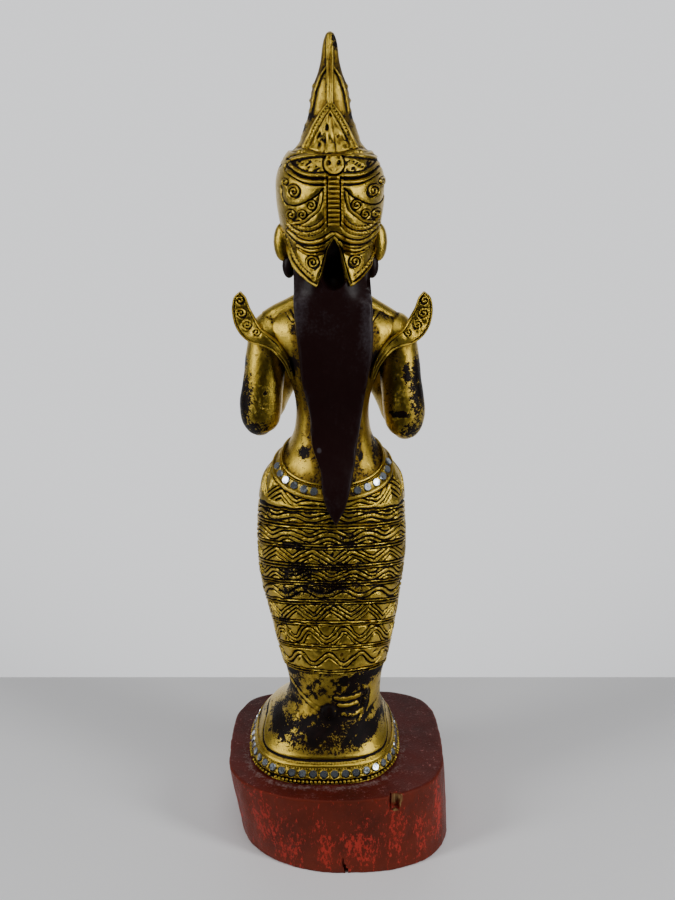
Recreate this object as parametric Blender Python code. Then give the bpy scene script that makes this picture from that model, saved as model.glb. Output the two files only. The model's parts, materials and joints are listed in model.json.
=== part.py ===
"""A carved, gilded standing nat figure on a block of red lacquered wood.

Metres, +Z up. The figure faces -Y, so its back with the long hair faces +Y.
The origin is the middle of the underside of the block.
"""
import math

import bmesh
import bpy
import numpy as np
from mathutils import Matrix, Vector

# Block of wood under the figure
PLINTH_HEIGHT = 0.070
PLINTH_TOP_WIDTH = 0.1885
PLINTH_TOP_DEPTH = 0.166
PLINTH_TOP_SHIFT = 0.0025
PLINTH_FOOT_WIDTH = 0.184
PLINTH_FOOT_DEPTH = 0.1735
PLINTH_FOOT_SHIFT = -0.00475
PLINTH_EDGE = 0.0016
PLINTH_SIDES = 40

# How square the block's outline is, how much rounder its back and its +X side are, and its unevenness
PLINTH_SQUARENESS = 3.3
PLINTH_ROUND_BACK = 1.0
PLINTH_ROUND_SIDE = 0.4
PLINTH_UNEVEN = 0.006

# Losses of the block: a chip at the rim, a smaller one beside it, and a drying crack
CHIP_WIDTH = 0.0095
CHIP_HEIGHT = 0.0130
CHIP_DEPTH = 0.0045
CHIP_X = -0.0500
CHIP_TAPER = 0.8
SMALL_CHIP_WIDTH = 0.0070
SMALL_CHIP_HEIGHT = 0.0025
SMALL_CHIP_DEPTH = 0.0015
SMALL_CHIP_X = -0.0330
SMALL_CHIP_TAPER = 0.6
CRACK_X = -0.0060
CRACK_WIDTH = 0.0018
CRACK_HEIGHT = 0.0150
CRACK_DEPTH = 0.0100
CRACK_TAPER = 3.0

# Figure, from the hem to the tip of the crown, and where it stands on the block
FIGURE_HEIGHT = 0.590
FIGURE_X = 0.0052
FIGURE_Y = 0.0000
CLEARANCE = 0.0003

# Flat pieces of mirror glass set in the hem and in the belt
TILE_WIDTH = 0.0054
TILE_FACE_SHARE = 0.88
TILE_THICKNESS = 0.0012
TILE_SIDES = 6
HEM_TILES = 46
BELT_TILES_A_SIDE = 6
BELT_TILE_PITCH = 0.0078
BELT_TILE_CREEP = 0.035
BELT_LAST_ANGLE = 1.45

# The figure's carving is written in parts of its height, one part to the millimetre
FIGURE_PARTS = 590.0
UNIT = FIGURE_HEIGHT / FIGURE_PARTS

# Columns round the body, four to each repeat of the woven pattern
REPEATS = 10
COLUMNS = 4 * REPEATS

# Height, half width, half depth, shift to +X and shift to +Y of the body
BODY = (
    (0.0, 64.4, 65.0, 7.5, -4.0),
    (5.0, 64.6, 65.0, 7.5, -4.0),
    (12.0, 61.0, 61.5, 7.3, -3.8),
    (24.0, 56.0, 55.5, 6.6, -3.0),
    (36.0, 48.5, 49.0, 5.0, -2.0),
    (46.0, 42.5, 42.5, 1.2, -1.0),
    (57.0, 39.6, 38.0, -1.4, 0.0),
    (76.0, 41.0, 37.0, -1.6, 0.0),
    (94.0, 45.5, 37.5, -1.4, 0.0),
    (129.0, 52.0, 38.5, -0.6, 0.0),
    (163.0, 58.0, 40.0, 1.0, 0.0),
    (196.0, 60.5, 41.5, 1.0, 0.0),
    (228.0, 59.0, 42.0, 1.0, 0.0),
    (244.0, 57.5, 41.5, 0.5, 0.0),
    (256.0, 54.5, 39.5, 0.0, -0.5),
    (270.0, 44.5, 34.5, 0.0, -1.0),
    (280.0, 36.5, 30.0, 0.0, -1.5),
    (290.0, 31.5, 27.0, 0.0, -2.0),
    (302.0, 29.2, 24.5, 0.0, -2.0),
    (314.0, 29.0, 24.0, 0.0, -2.0),
    (327.0, 31.2, 25.5, 0.0, -2.0),
    (341.0, 36.5, 28.0, 0.0, -2.0),
    (356.0, 43.0, 29.5, 0.0, -2.0),
    (369.0, 50.0, 29.5, 0.0, -2.0),
    (381.0, 52.0, 26.0, 0.0, -2.5),
    (388.0, 44.0, 22.5, 0.0, -3.0),
    (395.0, 29.0, 19.5, 0.0, -3.5),
    (402.0, 20.0, 17.0, 0.0, -4.0),
    (416.0, 18.0, 17.0, 0.0, -5.0),
    (430.0, 18.0, 18.0, 0.0, -4.0),
)

# How far a level line drops from the back to the sides, by its height at the back
LEVEL_DROP = (
    (57.0, 0.0),
    (94.0, 7.0),
    (118.0, 13.0),
    (140.0, 16.0),
    (160.0, 16.5),
    (177.0, 14.5),
    (210.0, 11.0),
    (242.0, 10.5),
    (247.0, -22.0),
    (256.0, -22.0),
    (300.0, 0.0),
)

# Woven bands of the sarong, from the belt down: pattern, and height of its lower edge
BANDS = (
    ("zigzag", 241.7),
    ("wave", 227.3),
    ("wave", 209.5),
    ("zigzag", 192.2),
    ("wave", 177.0),
    ("wave", 160.1),
    ("zigzag", 140.2),
    ("wave", 117.6),
    ("wave", 93.8),
)
BANDS_TOP = 246.5

# The columns of the relief are evenly spaced at this height, measured in this many steps
WIDEST_HEIGHT = 196.0
OUTLINE_STEPS = 720

# The hem is a rounded oblong up to the first height and an oval from the second one up
HEM_SQUARENESS = 2.7
HEM_SQUARE_TO = 20.0
HEM_ROUND_FROM = 54.0
BAND_ROWS = {"zigzag": (0.16, 0.50, 0.84), "wave": (0.27, 0.73)}
BAND_RIDGE = 1.5
BAND_RELIEF = 1.7

# Hem: height and stand of each line of its moulding, with the flat seat for the glass
HEM_LINES = ((0.0, 0.0), (2.8, 1.2), (5.2, 0.4))
HEM_SEAT = ((5.8, -0.8), (11.8, -0.8))
HEM_BORDER = ((12.8, 0.8), (17.6, 0.8), (18.8, -0.9), (21.0, 0.0))
TRAIN_ROWS = (29.0, 37.0, 45.0, 55.0, 71.0)
TORSO_ROWS = (264.0, 275.0, 286.0, 299.0, 315.0, 331.0, 346.0, 361.0, 375.0)
COLLAR_ROWS = ((384.0, 0.0), (387.0, 1.7), (389.5, 0.0), (392.0, 1.7))
NECK_ROWS = (400.0, 428.0)

# Belt: height of its middle at the back, and its section as (stand, rise) from the body
BELT_HEIGHT = 254.5
BELT_SECTION = ((-4.0, -6.6), (2.3, -5.4), (1.1, -3.6), (1.1, 3.4), (2.5, 5.2), (-4.0, 6.8))
BELT_SEAT = 1.1
BELT_GLASS_FROM_HAIR = 3.9

# Head: height, half width, half depth, shift to +Y
HEAD = (
    (412.5, 8.0, 8.0, -21.0),
    (416.5, 15.0, 16.0, -16.0),
    (424.0, 22.5, 24.5, -10.0),
    (435.0, 28.5, 31.5, -6.0),
    (448.0, 33.0, 36.5, -3.5),
    (462.0, 36.0, 39.0, -2.5),
    (476.0, 37.5, 40.0, -2.0),
    (490.0, 37.0, 38.0, -1.5),
    (500.0, 33.5, 34.0, -1.0),
    (508.0, 28.0, 28.5, -1.0),
    (515.0, 20.0, 20.0, -1.0),
)
HEAD_SIDES = 20
HEAD_X = 1.4

# Ears and ear plugs: offset, stand in +Y, height, half width, half depth, half height
EAR = (36.0, -3.0, 441.5, 7.0, 8.0, 14.5)
EAR_PLUG = (31.5, -3.0, 423.5, 5.2, 5.6, 9.5)

# Tiers of the crown: foot height, foot radius, edge height, edge radius, leaf height
CROWN_TIERS = (
    (505.0, 28.5, 511.0, 26.0, 3.0),
    (505.5, 24.6, 528.0, 18.2, 13.0),
    (522.0, 17.4, 549.0, 13.8, 17.0),
)
SPIRE = (
    (540.0, 12.0), (551.0, 12.4), (556.0, 10.8), (564.0, 9.0), (573.0, 7.0), (582.0, 5.6), (587.0, 3.8),
    (590.0, 1.2),
)
CROWN_SIDES = 16
CROWN_Y = -1.0
CROWN_SWELL = 0.8
CROWN_RIM = 2.6
CROWN_DISH = 3.0
CROWN_LEAF_LEAN = 0.012
SPIRE_SIDES = 8
SPIRE_VALLEY = 0.86

# Winged cap on the back of the head
CAP_THICKNESS = 3.2
CAP_ROOT = 6.0
CAP_TOP = 506.0
CAP_HANG = 440.0
CAP_FLARE = 0.10
CAP_COLUMNS = 20
CAP_ROWS = 6
CAP_REACH = 100.0
CAP_TURN = -0.045

# Lower edge of the cap, as places from its middle (0) to its side (1) and their heights
CAP_FOOT = (
    (0.0, 450.0), (0.035, 447.0), (0.09, 440.0), (0.13, 429.0), (0.18, 419.5), (0.21, 414.0),
    (0.26, 415.2), (0.30, 416.6), (0.44, 421.5), (0.59, 426.5), (0.81, 440.0), (0.91, 453.6), (1.0, 466.0),
)

# Lines of the moth on one side of the cap, as places (across, down) on it, then a width
MOTH_LINES = (
    (((0.07, 0.10), (0.30, 0.02), (0.62, 0.09), (0.92, 0.30)), 2.2),
    (((0.08, 0.30), (0.35, 0.36), (0.66, 0.26), (0.95, 0.34)), 2.0),
    (((0.09, 0.38), (0.34, 0.52), (0.62, 0.58), (0.90, 0.52), (0.97, 0.40)), 2.2),
    (((0.08, 0.66), (0.28, 0.78), (0.55, 0.78), (0.88, 0.66)), 2.4),
    (((0.03, 0.88), (0.15, 0.94), (0.29, 0.97), (0.48, 0.93), (0.80, 0.90)), 2.0),
)
MOTH_SPIRALS = ((0.70, 0.43, 4.6), (0.42, 0.64, 3.4), (0.66, 0.68, 3.4), (0.26, 0.88, 4.2))
MOTH_BODY = (
    (500.0, 1.5), (495.5, 5.4), (489.5, 6.2), (484.5, 3.2), (480.5, 4.6), (476.5, 3.4), (472.5, 4.6),
    (468.5, 3.4), (464.5, 4.4), (460.5, 3.2), (456.5, 4.0), (451.0, 1.2),
)

# Face on even thirds. The nose has height, half width and stand of its ridge, from the brow down
NOSE = ((464.0, 2.0, 0.6), (455.0, 2.2, 2.2), (444.5, 3.2, 5.2), (440.5, 4.6, 6.4), (438.5, 3.4, 3.0))

# Offset from the middle, height, half width, half height and how deep it sits in the face
EYELID = (13.0, 454.5, 7.0, 3.4, 0.5)
BROW = (13.5, 461.5, 8.5, 1.5, 0.8)

# Height and half height of each lip
LIPS = ((432.4, 1.9), (429.2, 2.1))

# Hair down the back: height, half width, shift to +X, stand of its outer face in +Y
HAIR = (
    (424.0, 28.3, 0.5, 29.5),
    (395.0, 29.3, -0.8, 31.5),
    (366.0, 28.0, -2.4, 33.0),
    (338.6, 24.5, -1.7, 32.0),
    (314.7, 20.0, -2.6, 30.5),
    (288.4, 17.2, -1.8, 33.0),
    (270.5, 12.9, -3.7, 38.5),
    (256.0, 10.8, -2.8, 43.0),
    (244.0, 7.6, -2.6, 45.0),
    (229.4, 0.8, -2.8, 44.8),
)
HAIR_THICKNESS = 14.0
HAIR_CORNER = 1.6
HAIR_CORNER_DROP = 1.2
HAIR_EDGE_DROP = 2.6

# Arm: offset from the figure's middle, stand in +Y, height and radius, from shoulder to wrist
UPPER_ARM = (
    (45.5, -3.0, 386.0, 5.0),
    (46.5, -3.0, 382.5, 11.0),
    (48.0, -2.5, 374.0, 15.6),
    (51.0, -1.5, 357.0, 16.2),
    (53.8, 1.0, 336.0, 16.0),
    (56.2, 2.0, 317.0, 16.6),
    (57.0, 2.0, 304.0, 15.6),
    (57.0, 2.0, 295.5, 11.5),
    (56.5, 2.0, 290.5, 5.0),
)
FOREARM = (
    (56.0, -2.0, 308.0, 12.0),
    (53.5, -15.0, 309.5, 15.0),
    (47.0, -29.0, 317.0, 13.4),
    (36.0, -42.0, 329.0, 11.4),
    (22.0, -52.0, 341.0, 9.6),
    (7.5, -58.0, 351.0, 8.4),
)
RIGHT_ELBOW_DROP = 3.0
ARM_SIDES = 10

# One of the two joined hands: height, half thickness, half depth, stand in +Y
HAND = (
    (342.0, 5.5, 8.0, -55.0),
    (354.0, 6.2, 12.0, -58.5),
    (367.0, 6.4, 13.5, -61.0),
    (379.0, 5.6, 11.5, -62.5),
    (391.0, 4.4, 8.0, -63.5),
    (401.0, 2.2, 3.4, -64.0),
)
HAND_SPREAD = 4.6

# Winged shoulder piece: offset, height, half width and stand of its ribbon, from the tip
WING = (
    (69.4, 406.0, 0.8, 9.0),
    (69.7, 402.0, 4.6, 8.8),
    (69.8, 397.0, 6.2, 8.5),
    (69.1, 390.5, 7.5, 8.0),
    (66.6, 383.2, 8.6, 8.5),
    (62.8, 377.2, 8.4, 10.5),
    (57.8, 373.0, 7.2, 13.0),
    (51.6, 370.2, 5.6, 14.5),
    (44.6, 365.8, 4.5, 15.0),
    (38.6, 359.4, 3.6, 17.0),
    (33.8, 350.8, 2.9, 16.5),
    (31.0, 340.0, 2.0, 14.0),
)
WING_THICKNESS = 4.6

# Faces within this angle are one facet, and edges shorter than this are one point
FLAT_ANGLE = math.radians(0.6)
SHARP_ANGLE = math.radians(38.0)
MERGE = 0.000005

# Most facets that the carved figure is given
FIGURE_FACETS = 8400

GOLD = (0.60, 0.42, 0.07, 1.0)
LACQUER_RED = (0.16, 0.035, 0.028, 1.0)
GLASS_GREY = (0.62, 0.66, 0.68, 1.0)


def clear_scene():
    """Remove every object and mesh, so that the model starts from nothing."""
    for item in list(bpy.data.objects):
        bpy.data.objects.remove(item, do_unlink=True)
    for mesh in list(bpy.data.meshes):
        bpy.data.meshes.remove(mesh)


def make_material(name, colour, roughness, metallic):
    """Return a Principled material of one colour."""
    material = bpy.data.materials.new(name)
    material.use_nodes = True
    shader = material.node_tree.nodes["Principled BSDF"]
    shader.inputs["Base Color"].default_value = colour
    shader.inputs["Roughness"].default_value = roughness
    shader.inputs["Metallic"].default_value = metallic
    return material


def smooth_value(rows, height, column):
    """Read one column of a table of stations at a height, on a smooth curve."""
    table = np.array([(row[0], row[column]) for row in rows], dtype=float)
    if table[0, 0] > table[-1, 0]:
        table = table[::-1]
    keys = table[:, 0]
    values = table[:, 1]
    slopes = np.gradient(values, keys)
    at = min(max(height, keys[0]), keys[-1])
    index = min(max(int(np.searchsorted(keys, at)) - 1, 0), len(keys) - 2)
    span = keys[index + 1] - keys[index]
    t = (at - keys[index]) / span
    start = (1.0 + 2.0 * t) * (1.0 - t) ** 2 * values[index]
    end = t * t * (3.0 - 2.0 * t) * values[index + 1]
    leave = t * (1.0 - t) ** 2 * span * slopes[index]
    arrive = t * t * (t - 1.0) * span * slopes[index + 1]
    return start + end + leave + arrive


def place(x, y, height):
    """Turn a point in parts of the figure's height into metres on the block."""
    foot = PLINTH_HEIGHT + CLEARANCE
    return Vector((FIGURE_X + x * UNIT, FIGURE_Y + y * UNIT, foot + height * UNIT))


def even_angles(count, height):
    """Return angles, from the back round, that divide the body's outline into equal lengths."""
    dense = np.linspace(0.0, 2.0 * math.pi, OUTLINE_STEPS + 1)
    points = np.array([body_point(angle, height) for angle in dense])
    steps = np.linalg.norm(np.diff(points, axis=0), axis=1)
    length = np.concatenate(((0.0,), np.cumsum(steps)))
    wanted = np.linspace(0.0, length[-1], count, endpoint=False)
    return [float(angle) for angle in np.interp(wanted, length, dense)]


def back_share(angle):
    """Return 1 at the back, falling smoothly to 0 by the sides and over the front."""
    c = math.cos(angle)
    blend = 0.5 * (c + math.sqrt(c * c + 0.05))
    return blend / (0.5 * (1.0 + math.sqrt(1.05)))


def level_height(height, angle):
    """Return the height at an angle of the line that has this height at the back."""
    keys = [row[0] for row in LEVEL_DROP]
    drops = [row[1] for row in LEVEL_DROP]
    drop = float(np.interp(height, keys, drops))
    return height - drop * (1.0 - back_share(angle))


def corner_reach(angle, height):
    """Return how far past an oval the outline stands, because the hem has squarer corners."""
    share = (HEM_ROUND_FROM - height) / (HEM_ROUND_FROM - HEM_SQUARE_TO)
    power = 2.0 + (HEM_SQUARENESS - 2.0) * min(1.0, max(0.0, share))
    return (abs(math.sin(angle)) ** power + abs(math.cos(angle)) ** power) ** (-1.0 / power)


def body_point(angle, height, stand=0.0):
    """Return a point of the body's skin, pushed out by a stand."""
    reach = corner_reach(angle, height)
    wide = smooth_value(BODY, height, 1) * reach + stand
    deep = smooth_value(BODY, height, 2) * reach + stand
    x = smooth_value(BODY, height, 3) + wide * math.sin(angle)
    y = smooth_value(BODY, height, 4) + deep * math.cos(angle)
    return place(x, y, height)


def add_loft(bm, loops, relief=None, closed=False):
    """Skin a list of loops of equal length, capping the first and the last one."""
    rows = [[bm.verts.new(point) for point in loop] for loop in loops]
    count = len(rows[0])
    pairs = list(zip(rows[:-1], rows[1:]))
    if closed:
        pairs.append((rows[-1], rows[0]))
    for index, (low, high) in enumerate(pairs):
        for column in range(count):
            after = (column + 1) % count
            a, b = low[column], low[after]
            c, d = high[after], high[column]
            rising = True
            if relief is not None:
                low_relief, high_relief = relief[index], relief[index + 1]
                rising = (low_relief[column] + high_relief[after]
                          >= low_relief[after] + high_relief[column])
            if rising:
                bm.faces.new((a, b, c))
                bm.faces.new((a, c, d))
            else:
                bm.faces.new((a, b, d))
                bm.faces.new((b, c, d))
    if not closed:
        bm.faces.new(list(reversed(rows[0])))
        bm.faces.new(rows[-1])


def make_form(loops, relief=None, closed=False):
    """Return a closed mesh made by skinning loops, with its faces pointing out."""
    bm = bmesh.new()
    add_loft(bm, loops, relief, closed)
    bmesh.ops.triangulate(bm, faces=bm.faces[:])
    bmesh.ops.recalc_face_normals(bm, faces=bm.faces[:])
    mesh = bpy.data.meshes.new("form")
    bm.to_mesh(mesh)
    bm.free()
    return mesh


def oval_loop(x, y, height, wide, deep, sides):
    """Return a level oval loop, counted from the back."""
    loop = []
    for index in range(sides):
        angle = 2.0 * math.pi * index / sides
        loop.append(place(x + wide * math.sin(angle), y + deep * math.cos(angle), height))
    return loop


def pattern_relief(kind, share, column):
    """Return how strongly a woven line stands out at this point of a band, from 0 to 1."""
    turn = math.cos(2.0 * math.pi * (column % 4) / 4)
    side = 1.0 if share < 0.5 else -1.0
    if kind == "wave":
        return max(0.0, 0.25 + 0.75 * side * turn)
    if abs(share - 0.5) < 0.01:
        return 1.0 - abs(turn)
    return max(0.0, side * turn)


def body_rows():
    """List the body's rows as (height at the back, stand of each column)."""
    rows = [(height, [stand] * COLUMNS) for height, stand in HEM_LINES + HEM_SEAT + HEM_BORDER]
    rows += [(height, [0.0] * COLUMNS) for height in TRAIN_ROWS]
    edges = [BANDS_TOP] + [edge for _, edge in BANDS]
    bands = []
    for (kind, low), high in zip(BANDS, edges[:-1]):
        bands.append((low, [BAND_RIDGE] * COLUMNS))
        for share in BAND_ROWS[kind]:
            stand = [BAND_RELIEF * pattern_relief(kind, share, column) for column in range(COLUMNS)]
            bands.append((low + share * (high - low), stand))
    rows += sorted(bands, key=lambda row: row[0])
    rows += [(height, [0.0] * COLUMNS) for height in TORSO_ROWS]
    rows += [(height, [stand] * COLUMNS) for height, stand in COLLAR_ROWS]
    rows += [(height, [0.0] * COLUMNS) for height in NECK_ROWS]
    return rows


def make_body():
    """Body from the hem to the neck, with the woven bands of the sarong in relief."""
    angles = even_angles(COLUMNS, WIDEST_HEIGHT)
    loops = []
    relief = []
    for height, stands in body_rows():
        loop = []
        for angle, stand in zip(angles, stands):
            loop.append(body_point(angle, level_height(height, angle), stand))
        loops.append(loop)
        relief.append(stands)
    return make_form(loops, relief)


def skin_frame(angle, height):
    """Return a point of the skin along a level line, its outward and its upward direction."""
    step = 0.02
    rise = 1.0
    point = body_point(angle, level_height(height, angle))
    before = body_point(angle - step, level_height(height, angle - step))
    after = body_point(angle + step, level_height(height, angle + step))
    below = body_point(angle, level_height(height, angle) - rise)
    above = body_point(angle, level_height(height, angle) + rise)
    along = (after - before).normalized()
    out = (above - below).cross(along).normalized()
    if out.dot(point - place(0.0, 0.0, height)) < 0.0:
        out = -out
    up = out.cross(along).normalized()
    if up.z < 0.0:
        up = -up
    return point, out, up


def make_belt():
    """Belt that dips at the back, with a rim on each side of its seat for the glass."""
    angles = even_angles(COLUMNS, BELT_HEIGHT)
    loops = []
    for angle in angles:
        point, out, up = skin_frame(angle, BELT_HEIGHT)
        loops.append([point + (out * stand + up * rise) * UNIT for stand, rise in BELT_SECTION])
    return make_form(loops, closed=True)


def make_head():
    """Head under the crown, an egg that narrows to the chin."""
    loops = [oval_loop(HEAD_X, y, height, wide, deep, HEAD_SIDES) for height, wide, deep, y in HEAD]
    return make_form(loops)


def head_point(angle, height, stand):
    """Return a point of the head's skin, pushed out by a stand."""
    wide = smooth_value(HEAD, height, 1) + stand
    deep = smooth_value(HEAD, height, 2) + stand
    y = smooth_value(HEAD, height, 3)
    return place(HEAD_X + wide * math.sin(angle), y + deep * math.cos(angle), height)


def cap_foot(across):
    """Return the height of the cap's lower edge at a place from side to side."""
    share = min(1.0, abs(across - CAP_TURN))
    return float(np.interp(share, [row[0] for row in CAP_FOOT], [row[1] for row in CAP_FOOT]))


def cap_point(across, drop, stand):
    """Return a point over the cap, from side to side (-1 to 1) and from top to foot (0 to 1)."""
    angle = math.radians(CAP_REACH) * across
    height = CAP_TOP + (cap_foot(across) - CAP_TOP) * drop
    hold = max(height, CAP_HANG)
    flare = CAP_FLARE * (hold - height)
    point = head_point(angle, hold, stand + flare)
    point.z = place(0.0, 0.0, height).z
    return point


def make_cap():
    """Cap on the back of the head, ending in two pointed lobes."""
    bm = bmesh.new()
    outer = []
    inner = []
    for column in range(CAP_COLUMNS + 1):
        across = 2.0 * column / CAP_COLUMNS - 1.0
        drops = [row / CAP_ROWS for row in range(CAP_ROWS + 1)]
        outer.append([bm.verts.new(cap_point(across, drop, CAP_THICKNESS)) for drop in drops])
        inner.append([bm.verts.new(cap_point(across, drop, -CAP_ROOT)) for drop in drops])
    for column in range(CAP_COLUMNS):
        for row in range(CAP_ROWS):
            bm.faces.new((outer[column][row], outer[column][row + 1],
                          outer[column + 1][row + 1], outer[column + 1][row]))
            bm.faces.new((inner[column][row], inner[column + 1][row],
                          inner[column + 1][row + 1], inner[column][row + 1]))
        bm.faces.new((outer[column][0], outer[column + 1][0], inner[column + 1][0], inner[column][0]))
        last = CAP_ROWS
        bm.faces.new((outer[column][last], inner[column][last],
                      inner[column + 1][last], outer[column + 1][last]))
    for line, other in ((outer[0], inner[0]), (outer[-1], inner[-1])):
        for row in range(CAP_ROWS):
            bm.faces.new((line[row], line[row + 1], other[row + 1], other[row]))
    bmesh.ops.recalc_face_normals(bm, faces=bm.faces[:])
    bmesh.ops.triangulate(bm, faces=bm.faces[:])
    mesh = bpy.data.meshes.new("form")
    bm.to_mesh(mesh)
    bm.free()
    return mesh


def make_ridge(places, width):
    """Raised line over the cap through a few places, with a sharp crest."""
    count = 2 * (len(places) - 1)
    keys = [2.0 * index for index in range(len(places))]
    path = []
    for step in range(count + 1):
        across = smooth_value([(key, point[0]) for key, point in zip(keys, places)], step, 1)
        drop = smooth_value([(key, point[1]) for key, point in zip(keys, places)], step, 1)
        path.append((across, drop))
    loops = []
    for step, (across, drop) in enumerate(path):
        before = cap_point(*path[max(step - 1, 0)], CAP_THICKNESS)
        after = cap_point(*path[min(step + 1, count)], CAP_THICKNESS)
        skin = cap_point(across, drop, CAP_THICKNESS)
        out = (skin - cap_point(across, drop, CAP_THICKNESS - 2.0)).normalized()
        over = out.cross(after - before).normalized()
        half = 0.5 * width * (0.45 if step in (0, count) else 1.0) * UNIT
        crest = out * (0.75 * width * (0.4 if step in (0, count) else 1.0) * UNIT)
        root = skin - out * (1.2 * UNIT)
        loops.append([root + over * half, skin + crest, root - over * half])
    return make_form(loops)


def make_moth():
    """Moth on the cap: lined body down the middle, and ridges and round bosses on its wings."""
    forms = []
    body = []
    for height, half in MOTH_BODY:
        front = smooth_value(HEAD, height, 2) + smooth_value(HEAD, height, 3)
        stand = front + CAP_THICKNESS
        outline = ((-half, stand - 3.0), (-half * 0.7, stand + 1.4),
                   (half * 0.7, stand + 1.4), (half, stand - 3.0))
        body.append([place(HEAD_X + px, py, height) for px, py in outline])
    forms.append(make_form(body))
    for side in (-1.0, 1.0):
        for places, width in MOTH_LINES:
            forms.append(make_ridge([(side * across, drop) for across, drop in places], width))
        for across, drop, radius in MOTH_SPIRALS:
            skin = cap_point(side * across, drop, CAP_THICKNESS)
            out = (skin - cap_point(side * across, drop, CAP_THICKNESS - 2.0)).normalized()
            along = out.orthogonal().normalized()
            over = out.cross(along)
            loops = []
            for stand, share in ((-1.2, 1.0), (0.9, 1.0), (1.9, 0.45)):
                centre = skin + out * (stand * UNIT)
                ring = []
                for index in range(7):
                    turn = 2.0 * math.pi * index / 7
                    way = along * math.cos(turn) + over * math.sin(turn)
                    ring.append(centre + way * (radius * share * UNIT))
                loops.append(ring)
            forms.append(make_form(loops))
    return forms


def make_tier(foot, foot_radius, edge, edge_radius, leaf):
    """Tier of the crown whose upper edge rises in leaves at the back, front and sides."""
    loops = []
    angles = [2.0 * math.pi * index / CROWN_SIDES for index in range(CROWN_SIDES)]
    middle = 0.5 * (foot + edge)
    swell = 0.5 * (foot_radius + edge_radius) + CROWN_SWELL
    dish = edge_radius - 2.0 * CROWN_RIM
    for height, radius, rise in ((foot, foot_radius, 0.0), (middle, swell, 0.0),
                                 (edge, edge_radius, leaf), (edge, edge_radius - CROWN_RIM, leaf)):
        loop = []
        for angle in angles:
            peak = max(0.0, math.cos(2.0 * angle)) ** 1.5 if leaf > CROWN_DISH else abs(math.cos(angle))
            shrink = 1.0 - CROWN_LEAF_LEAN * rise * peak
            x = HEAD_X + radius * shrink * math.sin(angle)
            y = CROWN_Y + radius * shrink * math.cos(angle)
            loop.append(place(x, y, height + rise * peak))
        loops.append(loop)
    loops.append(oval_loop(HEAD_X, CROWN_Y, edge - CROWN_DISH, dish, dish, CROWN_SIDES))
    return make_form(loops)


def make_spire():
    """Tall top leaf of the crown, with a ridge down its back."""
    loops = []
    for height, radius in SPIRE:
        loop = []
        for index in range(SPIRE_SIDES):
            angle = 2.0 * math.pi * index / SPIRE_SIDES
            reach = radius * (1.0 if index % 2 == 0 else SPIRE_VALLEY)
            loop.append(place(HEAD_X + reach * math.sin(angle), CROWN_Y + reach * math.cos(angle), height))
        loops.append(loop)
    return make_form(loops)


def make_hair():
    """Flat fall of hair from under the cap to a point on the sarong."""
    loops = []
    for height, half, x, face in HAIR:
        corner = min(HAIR_CORNER, half * 0.5)
        back = face - HAIR_THICKNESS
        outline = (
            (-half, back), (-half, face - HAIR_EDGE_DROP), (-half + corner, face - HAIR_CORNER_DROP),
            (0.0, face), (half - corner, face - HAIR_CORNER_DROP), (half, face - HAIR_EDGE_DROP),
            (half, back),
        )
        loops.append([place(x + px, py, height) for px, py in outline])
    return make_form(loops)


def path_loops(points, sides, squash=1.0):
    """Return round loops across a path of (x, y, height, radius)."""
    centres = [place(x, y, height) for x, y, height, _ in points]
    loops = []
    side = Vector((0.0, 1.0, 0.0))
    for index, centre in enumerate(centres):
        before = centres[max(index - 1, 0)]
        after = centres[min(index + 1, len(centres) - 1)]
        along = (after - before).normalized()
        side = (side - along * side.dot(along)).normalized()
        over = along.cross(side)
        radius = points[index][3] * UNIT
        loop = []
        for turn in range(sides):
            angle = 2.0 * math.pi * turn / sides
            flat = radius * squash
            loop.append(centre + side * (radius * math.cos(angle)) + over * (flat * math.sin(angle)))
        loops.append(loop)
    return loops


def make_limb(points, side):
    """One length of an arm; the right elbow hangs a little lower."""
    low = min(height for _, _, height, _ in points)
    high = max(height for _, _, height, _ in points)
    drop = RIGHT_ELBOW_DROP if side < 0.0 else 0.0
    path = []
    for x, y, height, radius in points:
        share = (high - height) / (high - low)
        path.append((side * x, y, height - drop * share, radius))
    return make_form(path_loops(path, ARM_SIDES))


def make_hand(side):
    """One of two flat hands held palm to palm, fingers up."""
    loops = [oval_loop(side * HAND_SPREAD, y, height, wide, deep, 10) for height, wide, deep, y in HAND]
    return make_form(loops)


def make_wing(side):
    """Shoulder piece that curls up to a tip and runs down the back of the armhole."""
    centres = [Vector((side * x, 0.0, height)) for x, height, _, _ in WING]
    loops = []
    for index, (x, height, half, stand) in enumerate(WING):
        before = centres[max(index - 1, 0)]
        after = centres[min(index + 1, len(centres) - 1)]
        along = (after - before).normalized()
        across = Vector((along.z, 0.0, -along.x))
        loop = []
        for share, depth in ((-1.0, 0.0), (-0.75, 0.8), (0.0, 1.0), (0.75, 0.8), (1.0, 0.0),
                             (0.75, -1.0), (-0.75, -1.0)):
            point = centres[index] + across * (half * share)
            y = stand + 0.5 * WING_THICKNESS * depth
            loop.append(place(point.x, y, point.z))
        loops.append(loop)
    return make_form(loops)


def make_bead(x, y, height, wide, deep, tall, sides=7, rings=4):
    """Rounded lump, such as an ear, an eyelid or an earring."""
    loops = []
    for index in range(rings + 1):
        angle = math.pi * (index + 0.35) / (rings + 0.7)
        ring = math.sin(angle)
        loops.append(oval_loop(x, y, height - tall * math.cos(angle), wide * ring, deep * ring, sides))
    return make_form(loops)


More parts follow.
